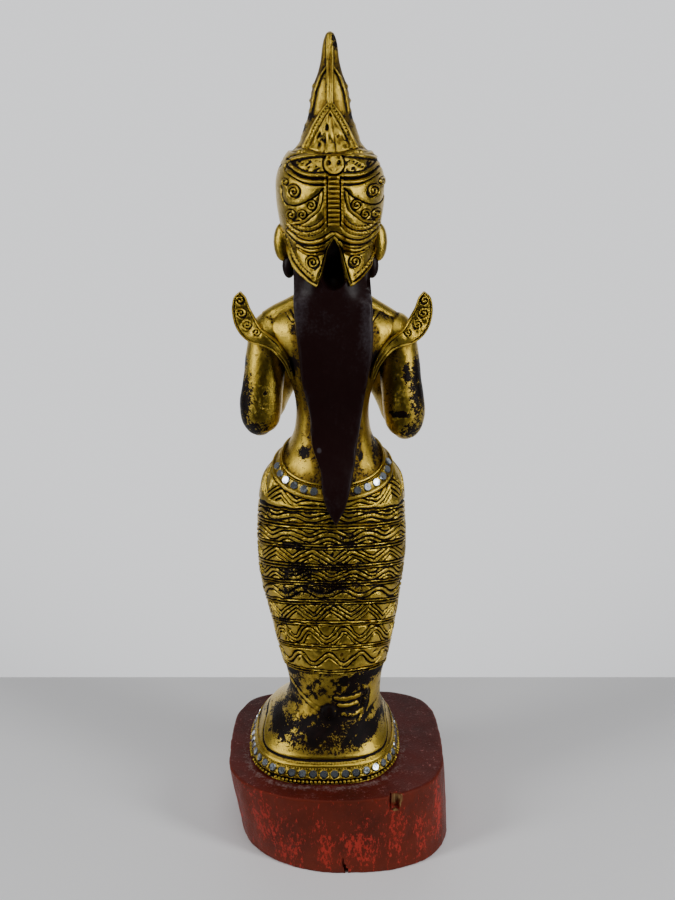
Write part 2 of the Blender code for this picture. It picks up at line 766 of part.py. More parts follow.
def make_face():
    """Calm, plain face: nose, closed lids, brows and lips at even thirds of the face."""
    forms = []
    nose = []
    for height, wide, stand in NOSE:
        front = smooth_value(HEAD, height, 3) - smooth_value(HEAD, height, 2)
        outline = ((-wide, 5.0), (-wide, 1.0), (0.0, -stand), (wide, 1.0), (wide, 5.0))
        nose.append([place(HEAD_X + px, front + py, height) for px, py in outline])
    forms.append(make_form(nose))
    for side in (-1.0, 1.0):
        for x, height, wide, tall, sink in (EYELID, BROW):
            angle = math.pi - side * math.asin(x / smooth_value(HEAD, height, 1))
            centre = head_point(angle, height, -sink)
            local = (centre - place(0.0, 0.0, 0.0)) / UNIT
            forms.append(make_bead(local.x, local.y, height, wide, 3.0, tall, 8, 3))
    for height, tall in LIPS:
        front = smooth_value(HEAD, height, 3) - smooth_value(HEAD, height, 2)
        forms.append(make_bead(HEAD_X, front + 1.0, height, 8.5, 3.2, tall, 8, 3))
    return forms


def make_figure_forms():
    """List every form that the figure is carved from, the body first."""
    forms = [make_body(), make_belt(), make_head(), make_cap(), make_spire(), make_hair()]
    forms += [make_tier(*tier) for tier in CROWN_TIERS]
    forms += make_moth()
    forms += make_face()
    for side in (-1.0, 1.0):
        forms.append(make_limb(UPPER_ARM, side))
        forms.append(make_limb(FOREARM, side))
        forms.append(make_hand(side))
        forms.append(make_wing(side))
        for offset, y, height, wide, deep, tall in (EAR, EAR_PLUG):
            forms.append(make_bead(HEAD_X + side * offset, y, height, wide, deep, tall))
    return forms


def join_meshes(meshes, name):
    """Return one object that holds several meshes side by side."""
    bm = bmesh.new()
    for mesh in meshes:
        bm.from_mesh(mesh)
    joined = bpy.data.meshes.new(name)
    bm.to_mesh(joined)
    bm.free()
    item = bpy.data.objects.new(name, joined)
    bpy.context.scene.collection.objects.link(item)
    return item


def apply_boolean(item, tool, operation, own):
    """Apply a Boolean to an object and remove its tool."""
    modifier = item.modifiers.new("carve", "BOOLEAN")
    modifier.object = tool
    modifier.operation = operation
    modifier.solver = "EXACT"
    modifier.use_self = own
    view = bpy.context.evaluated_depsgraph_get()
    result = bpy.data.meshes.new_from_object(item.evaluated_get(view))
    item.modifiers.clear()
    item.data = result
    bpy.data.objects.remove(tool, do_unlink=True)


def tidy_mesh(item):
    """Merge the slivers that a Boolean leaves and cut every face into triangles."""
    bm = bmesh.new()
    bm.from_mesh(item.data)
    bmesh.ops.dissolve_degenerate(bm, dist=MERGE, edges=bm.edges[:])
    bmesh.ops.dissolve_limit(bm, angle_limit=FLAT_ANGLE, verts=bm.verts[:], edges=bm.edges[:])
    bmesh.ops.triangulate(bm, faces=bm.faces[:])
    bm.to_mesh(item.data)
    bm.free()


def thin_facets(item, most):
    """Collapse the least needed edges until the piece has no more facets than asked."""
    modifier = item.modifiers.new("thin", "DECIMATE")
    modifier.ratio = min(1.0, most / len(item.data.polygons))
    modifier.use_collapse_triangulate = True
    view = bpy.context.evaluated_depsgraph_get()
    result = bpy.data.meshes.new_from_object(item.evaluated_get(view))
    item.modifiers.clear()
    item.data = result


def set_shading(item, material):
    """Give an object its material and smooth shading with sharp edges kept."""
    item.data.materials.clear()
    item.data.materials.append(material)
    item.data.shade_smooth()
    item.data.set_sharp_from_angle(angle=SHARP_ANGLE)


def make_figure():
    """Unite the forms into the one carved piece of wood."""
    forms = make_figure_forms()
    figure = join_meshes(forms[:1], "figure")
    rest = join_meshes(forms[1:], "figure_forms")
    apply_boolean(figure, rest, "UNION", True)
    tidy_mesh(figure)
    thin_facets(figure, FIGURE_FACETS)
    set_shading(figure, make_material("gilded_lacquer", GOLD, 0.32, 0.85))
    return figure


def plinth_loop(height, wide, deep, x, inset):
    """Return the block's uneven round-cornered outline at a height."""
    loop = []
    for index in range(PLINTH_SIDES):
        angle = 2.0 * math.pi * index / PLINTH_SIDES
        c, s = math.cos(angle), math.sin(angle)
        share = height / PLINTH_HEIGHT
        power = PLINTH_SQUARENESS - PLINTH_ROUND_BACK * s - PLINTH_ROUND_SIDE * c * (1.0 - share)
        reach = (abs(c) ** power + abs(s) ** power) ** (-1.0 / power)
        reach *= 1.0 - PLINTH_UNEVEN * math.sin(2.0 * angle) ** 2 * math.sin(3.0 * angle + 4.0 * share)
        half_wide, half_deep = 0.5 * wide - inset, 0.5 * deep - inset
        loop.append(Vector((x + half_wide * reach * c, half_deep * reach * s, height)))
    return loop


def block_width(share):
    """Return the block's width and its shift to +X at a share of its height."""
    wide = PLINTH_FOOT_WIDTH + (PLINTH_TOP_WIDTH - PLINTH_FOOT_WIDTH) * share
    return wide, PLINTH_FOOT_SHIFT + (PLINTH_TOP_SHIFT - PLINTH_FOOT_SHIFT) * share


def wedge(x, y, height, wide, deep, tall, taper):
    """Return a cutter that is narrower at its low end."""
    loops = []
    for level, share in ((height - 0.5 * tall, taper), (height + 0.5 * tall, 1.0)):
        half = 0.5 * wide * share
        loops.append([Vector((x - half, y - deep, level)), Vector((x + half, y - deep, level)),
                      Vector((x + half, y + deep, level)), Vector((x - half, y + deep, level))])
    return make_form(loops)


def block_face_y(x):
    """Return how far the block's back face reaches in +Y at a place across it."""
    power = PLINTH_SQUARENESS - PLINTH_ROUND_BACK
    share = abs(x) / (0.5 * PLINTH_TOP_WIDTH)
    return 0.5 * PLINTH_TOP_DEPTH * (1.0 - share ** power) ** (1.0 / power)


def make_plinth():
    """Uneven block with its flat top, its chips and its drying crack."""
    loops = []
    for share, inset in ((0.0, PLINTH_EDGE), (PLINTH_EDGE / PLINTH_HEIGHT, 0.0), (0.5, 0.0),
                         (1.0 - PLINTH_EDGE / PLINTH_HEIGHT, 0.0), (1.0, PLINTH_EDGE)):
        wide, x = block_width(share)
        deep = PLINTH_FOOT_DEPTH + (PLINTH_TOP_DEPTH - PLINTH_FOOT_DEPTH) * share
        loops.append(plinth_loop(share * PLINTH_HEIGHT, wide, deep, x, inset))
    plinth = join_meshes([make_form(loops)], "plinth")
    top = PLINTH_HEIGHT
    cutters = [
        wedge(CHIP_X, block_face_y(CHIP_X), top - 0.25 * CHIP_HEIGHT, CHIP_WIDTH, CHIP_DEPTH,
              1.5 * CHIP_HEIGHT, CHIP_TAPER),
        wedge(SMALL_CHIP_X, block_face_y(SMALL_CHIP_X) + SMALL_CHIP_DEPTH, top, SMALL_CHIP_WIDTH,
              2.0 * SMALL_CHIP_DEPTH, 2.0 * SMALL_CHIP_HEIGHT, SMALL_CHIP_TAPER),
        wedge(CRACK_X, 0.5 * PLINTH_FOOT_DEPTH, 0.0, CRACK_WIDTH, CRACK_DEPTH,
              2.0 * CRACK_HEIGHT, CRACK_TAPER),
    ]
    tool = join_meshes(cutters, "plinth_losses")
    apply_boolean(plinth, tool, "DIFFERENCE", True)
    tidy_mesh(plinth)
    set_shading(plinth, make_material("red_lacquer", LACQUER_RED, 0.45, 0.0))
    return plinth


def tile_mesh():
    """Return the many-sided flat piece of glass, with its back on its own origin."""
    bm = bmesh.new()
    bmesh.ops.create_cone(bm, cap_ends=True, segments=TILE_SIDES, radius1=0.5 * TILE_WIDTH,
                          radius2=0.5 * TILE_FACE_SHARE * TILE_WIDTH, depth=TILE_THICKNESS)
    bmesh.ops.translate(bm, verts=bm.verts[:], vec=(0.0, 0.0, 0.5 * TILE_THICKNESS))
    mesh = bpy.data.meshes.new("mirror_tile")
    bm.to_mesh(mesh)
    bm.free()
    mesh.materials.append(make_material("mirror_glass", GLASS_GREY, 0.12, 1.0))
    return mesh


def set_tile(mesh, name, seat, out, up):
    """Put one piece of glass on its seat, a clearance away from the carving."""
    tile = bpy.data.objects.new(name, mesh)
    across = up.cross(out).normalized()
    tall = out.cross(across).normalized()
    turn = Matrix((across, tall, out)).transposed().to_4x4()
    tile.matrix_world = Matrix.Translation(seat + out * CLEARANCE) @ turn
    bpy.context.scene.collection.objects.link(tile)
    return tile


def make_hem_tiles(mesh):
    """Ring of glass on the sloping seat of the hem."""
    tiles = []
    (low, low_stand), (high, high_stand) = HEM_SEAT
    angles = even_angles(HEM_TILES, 0.5 * (low + high))
    step = 0.02
    for index, angle in enumerate(angles):
        under = body_point(angle, low, low_stand)
        over = body_point(angle, high, high_stand)
        along = body_point(angle + step, low, low_stand) - body_point(angle - step, low, low_stand)
        up = (over - under).normalized()
        out = up.cross(along).normalized()
        if out.dot(under - place(0.0, 0.0, low)) < 0.0:
            out = -out
        tiles.append(set_tile(mesh, f"hem_glass_{index + 1:02d}", 0.5 * (under + over), out, up))
    return tiles


def make_belt_tiles(mesh):
    """Glass on the belt, on each side of the hair across the back."""
    tiles = []
    wide = smooth_value(BODY, BELT_HEIGHT, 1) * UNIT
    hair_middle = smooth_value(HAIR, BELT_HEIGHT, 2) * UNIT
    hair_edge = (smooth_value(HAIR, BELT_HEIGHT, 1) + BELT_GLASS_FROM_HAIR) * UNIT + 0.5 * TILE_WIDTH
    for side, label in ((1.0, "left"), (-1.0, "right")):
        for index in range(BELT_TILES_A_SIDE):
            reach = hair_edge + index * BELT_TILE_PITCH
            spread = 1.0 + BELT_TILE_CREEP * index
            angle = side * min(BELT_LAST_ANGLE, (reach + side * hair_middle) / wide * spread)
            point, out, up = skin_frame(angle, BELT_HEIGHT)
            seat = point + out * (BELT_SEAT * UNIT)
            tiles.append(set_tile(mesh, f"belt_glass_{label}_{index + 1}", seat, out, up))
    return tiles


def main():
    """Build every piece and hang it on one empty."""
    clear_scene()
    holder = bpy.data.objects.new("nat_statue", None)
    bpy.context.scene.collection.objects.link(holder)
    glass = tile_mesh()
    pieces = [make_plinth(), make_figure()]
    pieces += make_hem_tiles(glass)
    pieces += make_belt_tiles(glass)
    for piece in pieces:
        piece.parent = holder


main()
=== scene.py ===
import json
import math

import bmesh
import bpy
import numpy as np
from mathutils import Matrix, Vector

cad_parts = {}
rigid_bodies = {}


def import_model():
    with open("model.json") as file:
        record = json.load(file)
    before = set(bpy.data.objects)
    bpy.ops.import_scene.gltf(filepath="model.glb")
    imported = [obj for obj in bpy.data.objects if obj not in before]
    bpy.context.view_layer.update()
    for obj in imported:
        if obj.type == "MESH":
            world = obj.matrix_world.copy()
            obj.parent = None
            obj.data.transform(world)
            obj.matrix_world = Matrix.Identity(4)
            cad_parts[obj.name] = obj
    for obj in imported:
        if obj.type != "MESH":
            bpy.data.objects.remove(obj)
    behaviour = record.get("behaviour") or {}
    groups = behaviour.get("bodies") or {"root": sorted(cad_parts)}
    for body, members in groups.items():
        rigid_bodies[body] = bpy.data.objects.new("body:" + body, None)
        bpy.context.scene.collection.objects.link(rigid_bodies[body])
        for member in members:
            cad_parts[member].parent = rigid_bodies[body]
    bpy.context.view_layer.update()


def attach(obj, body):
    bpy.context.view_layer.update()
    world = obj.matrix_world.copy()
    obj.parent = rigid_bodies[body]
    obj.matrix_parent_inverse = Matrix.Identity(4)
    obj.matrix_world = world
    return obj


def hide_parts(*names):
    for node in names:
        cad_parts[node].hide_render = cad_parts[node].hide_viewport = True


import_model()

# The carving is written in millimetres from the middle of the hem, the figure's back facing +Y.
FIGURE_X = 5.2
FIGURE_FOOT = 70.3
MILLIMETRE = 0.001
REPEATS = 10

# Height, half width, half depth, shift to +X and shift to +Y of the body
BODY = (
    (0.0, 64.4, 65.0, 7.5, -4.0), (5.0, 64.6, 65.0, 7.5, -4.0), (12.0, 61.0, 61.5, 7.3, -3.8),
    (24.0, 56.0, 55.5, 6.6, -3.0), (36.0, 48.5, 49.0, 5.0, -2.0), (46.0, 42.5, 42.5, 1.2, -1.0),
    (57.0, 39.6, 38.0, -1.4, 0.0), (76.0, 41.0, 37.0, -1.6, 0.0), (94.0, 45.5, 37.5, -1.4, 0.0),
    (129.0, 52.0, 38.5, -0.6, 0.0), (163.0, 58.0, 40.0, 1.0, 0.0), (196.0, 60.5, 41.5, 1.0, 0.0),
    (228.0, 59.0, 42.0, 1.0, 0.0), (244.0, 57.5, 41.5, 0.5, 0.0), (256.0, 54.5, 39.5, 0.0, -0.5),
    (270.0, 44.5, 34.5, 0.0, -1.0), (280.0, 36.5, 30.0, 0.0, -1.5), (290.0, 31.5, 27.0, 0.0, -2.0),
    (302.0, 29.2, 24.5, 0.0, -2.0), (314.0, 29.0, 24.0, 0.0, -2.0), (327.0, 31.2, 25.5, 0.0, -2.0),
    (341.0, 36.5, 28.0, 0.0, -2.0), (356.0, 43.0, 29.5, 0.0, -2.0), (369.0, 50.0, 29.5, 0.0, -2.0),
    (381.0, 52.0, 26.0, 0.0, -2.5), (388.0, 44.0, 22.5, 0.0, -3.0), (395.0, 29.0, 19.5, 0.0, -3.5),
    (402.0, 20.0, 17.0, 0.0, -4.0), (416.0, 18.0, 17.0, 0.0, -5.0), (430.0, 18.0, 18.0, 0.0, -4.0),
)

# How far a level line drops from the back to the sides, by its height at the back
LEVEL_DROP = (
    (57.0, 0.0), (94.0, 7.0), (118.0, 13.0), (140.0, 16.0), (160.0, 16.5), (177.0, 14.5), (210.0, 11.0),
    (242.0, 10.5), (247.0, -22.0), (256.0, -22.0), (300.0, 0.0),
)

# Woven bands from the belt down: pattern, height of the lower edge, and where a crest stands
BANDS = (
    ("zigzag", 241.7, 11.5), ("ripples", 227.3, 32.5), ("ripples", 209.5, 2.3), ("zigzag", 192.2, -17.8),
    ("arches", 177.0, 15.4), ("wave", 160.1, -9.1), ("zigzag", 140.2, 0.0), ("arches", 117.6, -9.9),
    ("wave", 93.8, 4.5),
)
BANDS_TOP = 247.4
BELT_GROOVE = 0.5

# Dotted grooves over the seat of the belt's glass: height over the belt's foot and half width
BELT_GROOVES = ((4.9, 0.8), (3.1, 0.7))

WIDEST_HEIGHT = 196.0
SEAM = (0.65, 1.85)
SEAM_GROOVE = 3.0

# How far each pattern swings, as a share of its band, and where its lines and its fill lie
SWING = {"zigzag": 0.46, "arches": 0.34, "ripples": 0.22, "wave": 0.26}
LINE = {"zigzag": 1.15, "arches": 1.25, "ripples": 1.4, "wave": 1.3}
SECOND_LINE = {"zigzag": (2.3, 4.1), "arches": (2.5, 4.3), "ripples": (2.9, 5.0)}
FILL_FROM = {"zigzag": 5.2, "arches": 5.5, "ripples": 6.4, "wave": 2.8}

# The hem is a rounded oblong up to the first height and an oval from the second one up
HEM_SQUARENESS = 2.7
HEM_SQUARE_TO = 20.0
HEM_ROUND_FROM = 54.0

# Hem: seat of the glass and the lines of the moulding above it
HEM_SEAT = (5.8, 11.8)
HEM_GLASS = 46
HEM_GROOVE = 18.8
HEM_GROOVE_RISE = 12.0

# Belt: height of its middle at the back, and its section as (stand, rise) from the body
BELT_HEIGHT = 254.5
BELT_SECTION = (
    (-4.0, -6.6), (1.6, -6.3), (2.4, -5.4), (2.2, -4.3), (1.1, -3.6), (1.1, -1.2), (1.1, 1.2), (1.1, 3.0),
    (2.1, 3.5), (2.3, 4.1), (1.3, 4.7), (1.3, 5.1), (2.4, 5.6), (2.2, 6.5), (-4.0, 6.8),
)

# Head: height, half width, half depth, shift to +Y
HEAD = (
    (412.5, 8.0, 8.0, -21.0), (416.5, 15.0, 16.0, -16.0), (424.0, 22.5, 24.5, -10.0),
    (435.0, 28.5, 31.5, -6.0),
    (448.0, 33.0, 36.5, -3.5), (462.0, 36.0, 39.0, -2.5), (476.0, 37.5, 40.0, -2.0),
    (490.0, 37.0, 38.0, -1.5),
    (500.0, 33.5, 34.0, -1.0), (508.0, 28.0, 28.5, -1.0), (515.0, 20.0, 20.0, -1.0),
)
HEAD_X = 1.4
EAR = (36.0, -3.0, 441.5, 7.0, 8.0, 14.5)
EAR_PLUG = (31.5, -3.0, 423.5, 5.2, 5.6, 9.5)

# Crown: height and radius of its outline
CROWN = (
    (500.0, 27.0), (505.0, 27.8), (509.9, 26.5), (513.9, 23.4), (521.9, 20.6), (529.9, 17.4), (537.9, 15.4),
    (545.9, 14.4), (553.8, 12.6), (561.8, 9.5), (569.8, 7.4), (576.0, 6.6), (581.8, 5.7), (586.0, 4.4),
    (588.8, 2.6), (589.8, 0.9),
)
CROWN_Y = -1.0

# Ridges of the collar beside the hair, and the slope from the neck to the shoulder
COLLAR_LINES = (((42.0, 399.0), (37.0, 394.0), (30.0, 386.0)), ((38.0, 401.0), (33.0, 396.0), (26.0, 388.0)))
SHOULDER = (
    (16.0, -4.0, 398.0, 8.0), (24.0, -3.5, 394.0, 9.0), (33.0, -3.0, 389.2, 9.2), (42.0, -3.0, 384.4, 9.4),
    (50.0, -3.0, 380.0, 9.0),
)

# Knobs up the crown's sides: height and strength
CROWN_KNOBS = ((553.2, 1.0), (548.4, 0.4), (543.2, 1.2), (536.0, 0.5), (526.5, 0.6), (518.0, 0.4))

# Half width of each leaf of the crown by height, up to its tip
LOW_LEAF = ((500.0, 26.0), (509.0, 19.6), (516.0, 15.6), (521.0, 13.0), (526.0, 10.6), (534.0, 5.8), (542.0, 0.0))
HIGH_LEAF = ((536.0, 12.0), (549.0, 9.3), (559.5, 5.2), (566.5, 0.0))

# Winged cap on the back of the head
CAP_THICKNESS = 3.2
CAP_ROOT = 6.0
CAP_TOP = 506.0
CAP_HANG = 440.0
CAP_FLARE = 0.10
CAP_REACH = 100.0
CAP_TURN = -0.045
CAP_FOOT = (
    (0.0, 450.0), (0.035, 447.0), (0.09, 440.0), (0.13, 429.0), (0.18, 419.5), (0.21, 414.0),
    (0.26, 415.2), (0.30, 416.6), (0.44, 421.5), (0.59, 426.5), (0.81, 440.0), (0.91, 453.6), (1.0, 466.0),
)

# Lines of one half of the face: eyelids, brow, lips with the line between them, and the hair's edge
FACE_LINES = (
    ("groove", 0.9, 0.9, ((5.6, 452.4), (9.0, 450.6), (13.0, 450.2), (17.0, 451.2), (20.2, 453.4))),
    ("groove", 0.9, 0.5, ((6.0, 455.0), (9.5, 457.2), (13.0, 457.8), (17.0, 457.0), (20.4, 454.6))),
    ("soft", 1.7, 0.7, ((5.0, 462.6), (9.5, 464.2), (14.0, 464.2), (19.0, 462.4), (24.0, 458.6))),
    ("soft", 2.2, 1.5, ((0.0, 431.6), (2.2, 432.3), (5.0, 431.9), (8.6, 431.7))),
    ("soft", 2.8, 1.7, ((0.0, 427.9), (3.5, 428.2), (7.2, 430.3))),
    ("groove", 0.9, 1.1, ((0.0, 430.0), (4.0, 430.1), (7.0, 430.9), (9.6, 432.2))),
    ("soft", 2.4, 1.6, ((0.0, 478.0), (10.0, 477.0), (20.0, 472.5), (27.0, 464.0), (31.0, 452.0))),
)

# Lines carved on one half of the cap: kind, width, strength, places (offset from the middle, height)
MOTH_LINES = (
    ("ridge", 1.5, 1.1, ((3.0, 507.6), (8.5, 508.2), (16.0, 507.4), (25.0, 505.8), (31.0, 504.0))),
    ("groove", 1.1, 1.0, ((3.0, 505.4), (9.0, 506.0), (16.5, 505.2), (25.0, 503.6), (31.0, 502.0))),
    ("ridge", 1.9, 1.5, ((4.5, 494.6), (9.7, 494.4), (15.4, 494.4), (21.2, 495.2), (27.0, 497.4),
                         (31.5, 500.2))),
    ("groove", 1.4, 1.3, ((5.5, 492.4), (10.5, 492.1), (16.8, 492.1), (22.6, 492.9),
                          (27.5, 495.0), (32.5, 498.4))),
    ("ridge", 1.6, 1.2, ((5.5, 490.2), (10.5, 489.8), (16.8, 489.9), (23.3, 491.0), (28.8, 493.4),
                         (34.0, 496.4))),
    ("groove", 1.4, 1.2, ((6.2, 487.7), (11.9, 487.4), (16.9, 487.7), (21.9, 488.8),
                          (27.5, 491.2), (33.0, 493.6))),
    ("groove", 1.5, 1.5, ((7.6, 485.4), (11.6, 481.2), (16.2, 478.0), (22.7, 474.6),
                          (29.0, 472.6), (34.6, 473.2),
                          (37.6, 477.6), (38.2, 485.0))),
    ("ridge", 1.4, 1.1, ((9.0, 483.0), (9.6, 477.0), (11.8, 470.6), (16.2, 466.8), (22.9, 461.6),
                         (31.0, 459.6))),
    ("beads", 1.7, 1.2, ((5.6, 465.4), (9.6, 460.8), (14.6, 457.6), (20.4, 456.4), (26.5, 457.2),
                         (33.0, 461.6))),
    ("beads", 1.6, 1.1, ((5.6, 460.6), (10.0, 456.2), (16.0, 453.4), (22.6, 452.6), (29.4, 454.2),
                         (35.0, 458.6))),
    ("ridge", 1.9, 1.4, ((1.2, 453.4), (6.0, 450.2), (12.0, 447.4), (19.0, 446.2), (26.5, 447.8),
                         (33.6, 453.4))),
    ("groove", 1.3, 1.2, ((3.4, 448.8), (9.0, 445.8), (15.5, 443.8), (22.6, 443.6), (29.6, 446.2),
                          (35.2, 451.6))),
    ("ridge", 1.5, 1.2, ((7.4, 442.2), (13.5, 440.2), (20.5, 440.2), (27.4, 443.0))),
    ("ridge", 1.2, 0.9, ((8.8, 439.2), (14.0, 437.6), (20.0, 437.8), (25.4, 440.0))),
    ("beads", 1.6, 1.1, ((35.2, 446.6), (32.4, 438.8), (28.4, 431.4), (22.6, 425.4), (15.8, 420.6))),
    ("groove", 1.0, 0.9, ((36.6, 444.6), (33.8, 436.6), (29.4, 429.2), (23.6, 423.2), (16.6, 418.4))),
    ("ridge", 1.8, 1.3, ((38.0, 448.6), (35.8, 440.2), (31.6, 430.6), (25.6, 423.4),
                         (18.4, 417.4), (12.6, 414.6))),
    ("ridge", 1.8, 1.3, ((1.6, 445.6), (4.0, 441.2), (6.4, 432.4), (9.0, 422.6), (11.2, 415.8))),
    ("groove", 1.0, 0.9, ((4.2, 444.6), (6.4, 439.4), (8.6, 431.4), (11.2, 422.0))),
)

# Spirals on one half of the cap: offset, height, radius, and turns
MOTH_SPIRALS = (
    (28.8, 482.4, 5.0, 1.9), (35.4, 488.2, 2.7, 1.2), (16.3, 473.6, 4.3, 1.7), (22.9, 466.4, 3.8, 1.5),
    (31.0, 465.6, 4.1, 1.5), (15.6, 431.8, 5.2, 1.9),
)
MOTH_HEAD = (-1.2, 502.2, 7.0)
MOTH_TAIL = 459.0
MOTH_HALF = 4.4
MOTH_RIB_PITCH = 3.3

# Hair down the back: height, half width, shift to +X, stand of its outer face in +Y
HAIR = (
    (424.0, 28.3, 0.5, 29.5), (395.0, 29.3, -0.8, 31.5), (366.0, 28.0, -2.4, 33.0),
    (338.6, 24.5, -1.7, 32.0),
    (314.7, 20.0, -2.6, 30.5), (288.4, 17.2, -1.8, 33.0), (270.5, 12.9, -3.7, 38.5),
    (256.0, 10.8, -2.8, 43.0),
    (244.0, 7.6, -2.6, 45.0), (229.4, 0.8, -2.8, 44.8),
)
HAIR_THICKNESS = 14.0
HAIR_UNDER_CAP = 2.6
HAIR_HOLLOW = (-1.2, 27.0, 424.0, 11.0, 13.0, 13.5)

# Arm: offset from the figure's middle, stand in +Y, height and radius, from shoulder to wrist
UPPER_ARM = (
    (45.5, -3.0, 386.0, 5.0), (46.5, -3.0, 382.5, 11.0), (48.0, -2.5, 374.0, 15.6),
    (51.0, -1.5, 357.0, 16.2),
    (53.8, 1.0, 336.0, 16.0), (56.2, 2.0, 317.0, 16.6), (57.0, 2.0, 304.0, 15.6), (57.0, 2.0, 295.5, 11.5),
    (56.5, 2.0, 290.5, 5.0),
)
FOREARM = (
    (56.0, -2.0, 308.0, 12.0), (53.5, -15.0, 309.5, 15.0), (47.0, -29.0, 317.0, 13.4),
    (36.0, -42.0, 329.0, 11.4),
    (22.0, -52.0, 341.0, 9.6), (7.5, -58.0, 351.0, 8.4),
)
RIGHT_ELBOW_DROP = 3.0

# One of the two joined hands: height, half thickness, half depth, stand in +Y
HAND = (
    (342.0, 5.5, 8.0, -55.0), (354.0, 6.2, 12.0, -58.5), (367.0, 6.4, 13.5, -61.0),
    (379.0, 5.6, 11.5, -62.5),
    (391.0, 4.4, 8.0, -63.5), (401.0, 2.2, 3.4, -64.0),
)
HAND_SPREAD = 4.6

# Winged shoulder piece: offset, height, half width and stand of its ribbon, from the tip
WING = (
    (69.4, 406.0, 0.8, 9.0), (69.7, 402.0, 4.6, 8.8), (69.8, 397.0, 6.2, 8.5), (69.1, 390.5, 7.5, 8.0),
    (66.6, 383.2, 8.6, 8.5), (62.8, 377.2, 8.4, 10.5), (57.8, 373.0, 7.2, 13.0), (51.6, 370.2, 5.6, 14.5),
    (44.6, 365.8, 4.5, 15.0), (38.6, 359.4, 3.6, 17.0), (33.8, 350.8, 2.9, 16.5), (31.0, 340.0, 2.0, 14.0),
)
WING_THICKNESS = 4.6
WING_SPIRALS = (
    (69.9, 399.6, 3.8, 1.2), (69.2, 389.6, 4.4, 1.7), (65.0, 381.2, 4.2, 1.7), (57.6, 376.0, 3.7, 1.5),
)

# Places where the gold is worn off: offset, height, reach across, reach up, strength
WORN = (
    (51.2, 232.6, 5.0, 4.0, 0.9), (28.9, 208.3, 14.0, 4.4, 0.9), (-11.4, 214.5, 11.0, 8.0, 0.9),
    (24.0, 188.0, 14.0, 9.0, 1.0), (36.6, 181.1, 10.0, 7.0, 0.9), (-3.0, 192.6, 17.0, 4.6, 0.85),
    (-11.5, 178.0, 16.0, 5.0, 0.85), (8.4, 172.1, 26.0, 7.0, 0.9), (33.6, 166.3, 12.0, 6.0, 0.85),
    (40.0, 137.0, 7.0, 7.0, 0.7), (4.0, 181.0, 50.0, 26.0, 0.56), (0.0, 153.0, 46.0, 9.0, 0.5),
    (-10.0, 212.0, 34.0, 13.0, 0.45), (-36.0, 196.0, 10.0, 30.0, 0.3), (44.0, 226.0, 9.0, 14.0, 0.35),
    (12.0, 130.0, 30.0, 4.0, 0.25), (0.0, 236.0, 50.0, 6.0, 0.3),
    (5.0, 37.5, 56.0, 15.0, 0.86), (36.8, 61.5, 12.0, 12.0, 0.72), (31.0, 82.0, 7.0, 11.0, 0.8),
    (-27.0, 84.0, 20.0, 10.0, 0.86), (-27.0, 63.0, 4.5, 13.0, 1.1), (-10.0, 56.0, 13.0, 4.5, 0.85),
    (3.2, 55.5, 9.0, 9.0, 1.3), (8.0, 80.0, 36.0, 16.0, 0.52), (-2.0, 47.0, 40.0, 6.0, 0.85),
    (-54.0, 320.0, 20.0, 40.0, 0.40), (60.0, 320.0, 20.0, 40.0, 0.40),
    (-33.0, 284.0, 2.5, 14.0, 0.8), (30.5, 352.0, 3.0, 7.0, 1.0), (28.5, 322.0, 3.0, 14.0, 0.6),
    (-30.0, 357.0, 5.0, 4.0, 0.9), (-41.0, 388.0, 8.0, 4.0, 0.55), (40.0, 380.0, 12.0, 8.0, 0.2),
    (6.5, 519.0, 3.0, 4.0, 0.9), (-11.0, 519.0, 2.5, 4.0, 0.9), (0.0, 548.0, 26.0, 40.0, 0.24),
)

# Small worn places kept sharp: offset, stand in +Y, height, three reaches, strength
SPOTS = (
    (69.0, 6.0, 352.0, 5.0, 14.0, 8.0, 0.8), (68.0, 6.0, 318.0, 9.0, 14.0, 26.0, 0.85),
    (60.0, 8.0, 299.0, 14.0, 14.0, 9.0, 0.7), (52.0, 16.0, 328.6, 2.6, 6.0, 2.2, 0.9),
    (-66.0, 6.0, 330.0, 8.5, 14.0, 34.0, 0.9), (-57.0, 14.0, 344.0, 3.5, 8.0, 9.0, 0.8),
    (-54.0, 14.0, 311.0, 9.5, 8.0, 3.4, 1.1), (-62.0, 8.0, 298.0, 12.0, 12.0, 10.0, 0.75),
    (23.6, 24.0, 282.0, 5.5, 10.0, 6.0, 1.0), (26.0, 22.0, 293.0, 5.0, 10.0, 8.0, 0.55),
    (-22.3, 24.0, 278.3, 1.8, 8.0, 2.8, 1.0), (-3.5, 2.0, 585.0, 4.5, 9.0, 8.0, 0.9),
    (14.9, 4.0, 532.6, 2.6, 9.0, 3.6, 0.8), (19.8, 2.0, 524.6, 2.8, 9.0, 3.6, 0.75),
    (-14.2, 4.0, 533.0, 1.8, 9.0, 2.6, 1.1),
)

# Where the crown's gold is dull, in the same way
DULL_CROWN = ((0.0, 0.0, 550.0, 34.0, 34.0, 42.0, 1.0),)

# Grey places on the hair, in the same way: painted sheen over its upper part and sides, and one small mark worn
# by rubbing low down
HAIR_SHEEN_AND_RUB = (
    (25.0, 33.0, 400.0, 9.0, 20.0, 24.0, 0.40), (-27.0, 33.0, 388.0, 8.0, 20.0, 34.0, 0.40),
    (4.0, 33.0, 386.0, 20.0, 20.0, 12.0, 0.16), (10.2, 33.0, 287.0, 1.7, 9.0, 2.0, 1.9),
)

# Block of wood under the figure, in metres
PLINTH_HEIGHT = 0.070
PLINTH_TOP = (0.1885, 0.166, 0.0025)
PLINTH_FOOT = (0.184, 0.1735, -0.00475)
PLINTH_EDGE = 0.0016
PLINTH_SQUARENESS = 3.3
PLINTH_ROUND_BACK = 1.0
PLINTH_ROUND_SIDE = 0.4
PLINTH_UNEVEN = 0.006

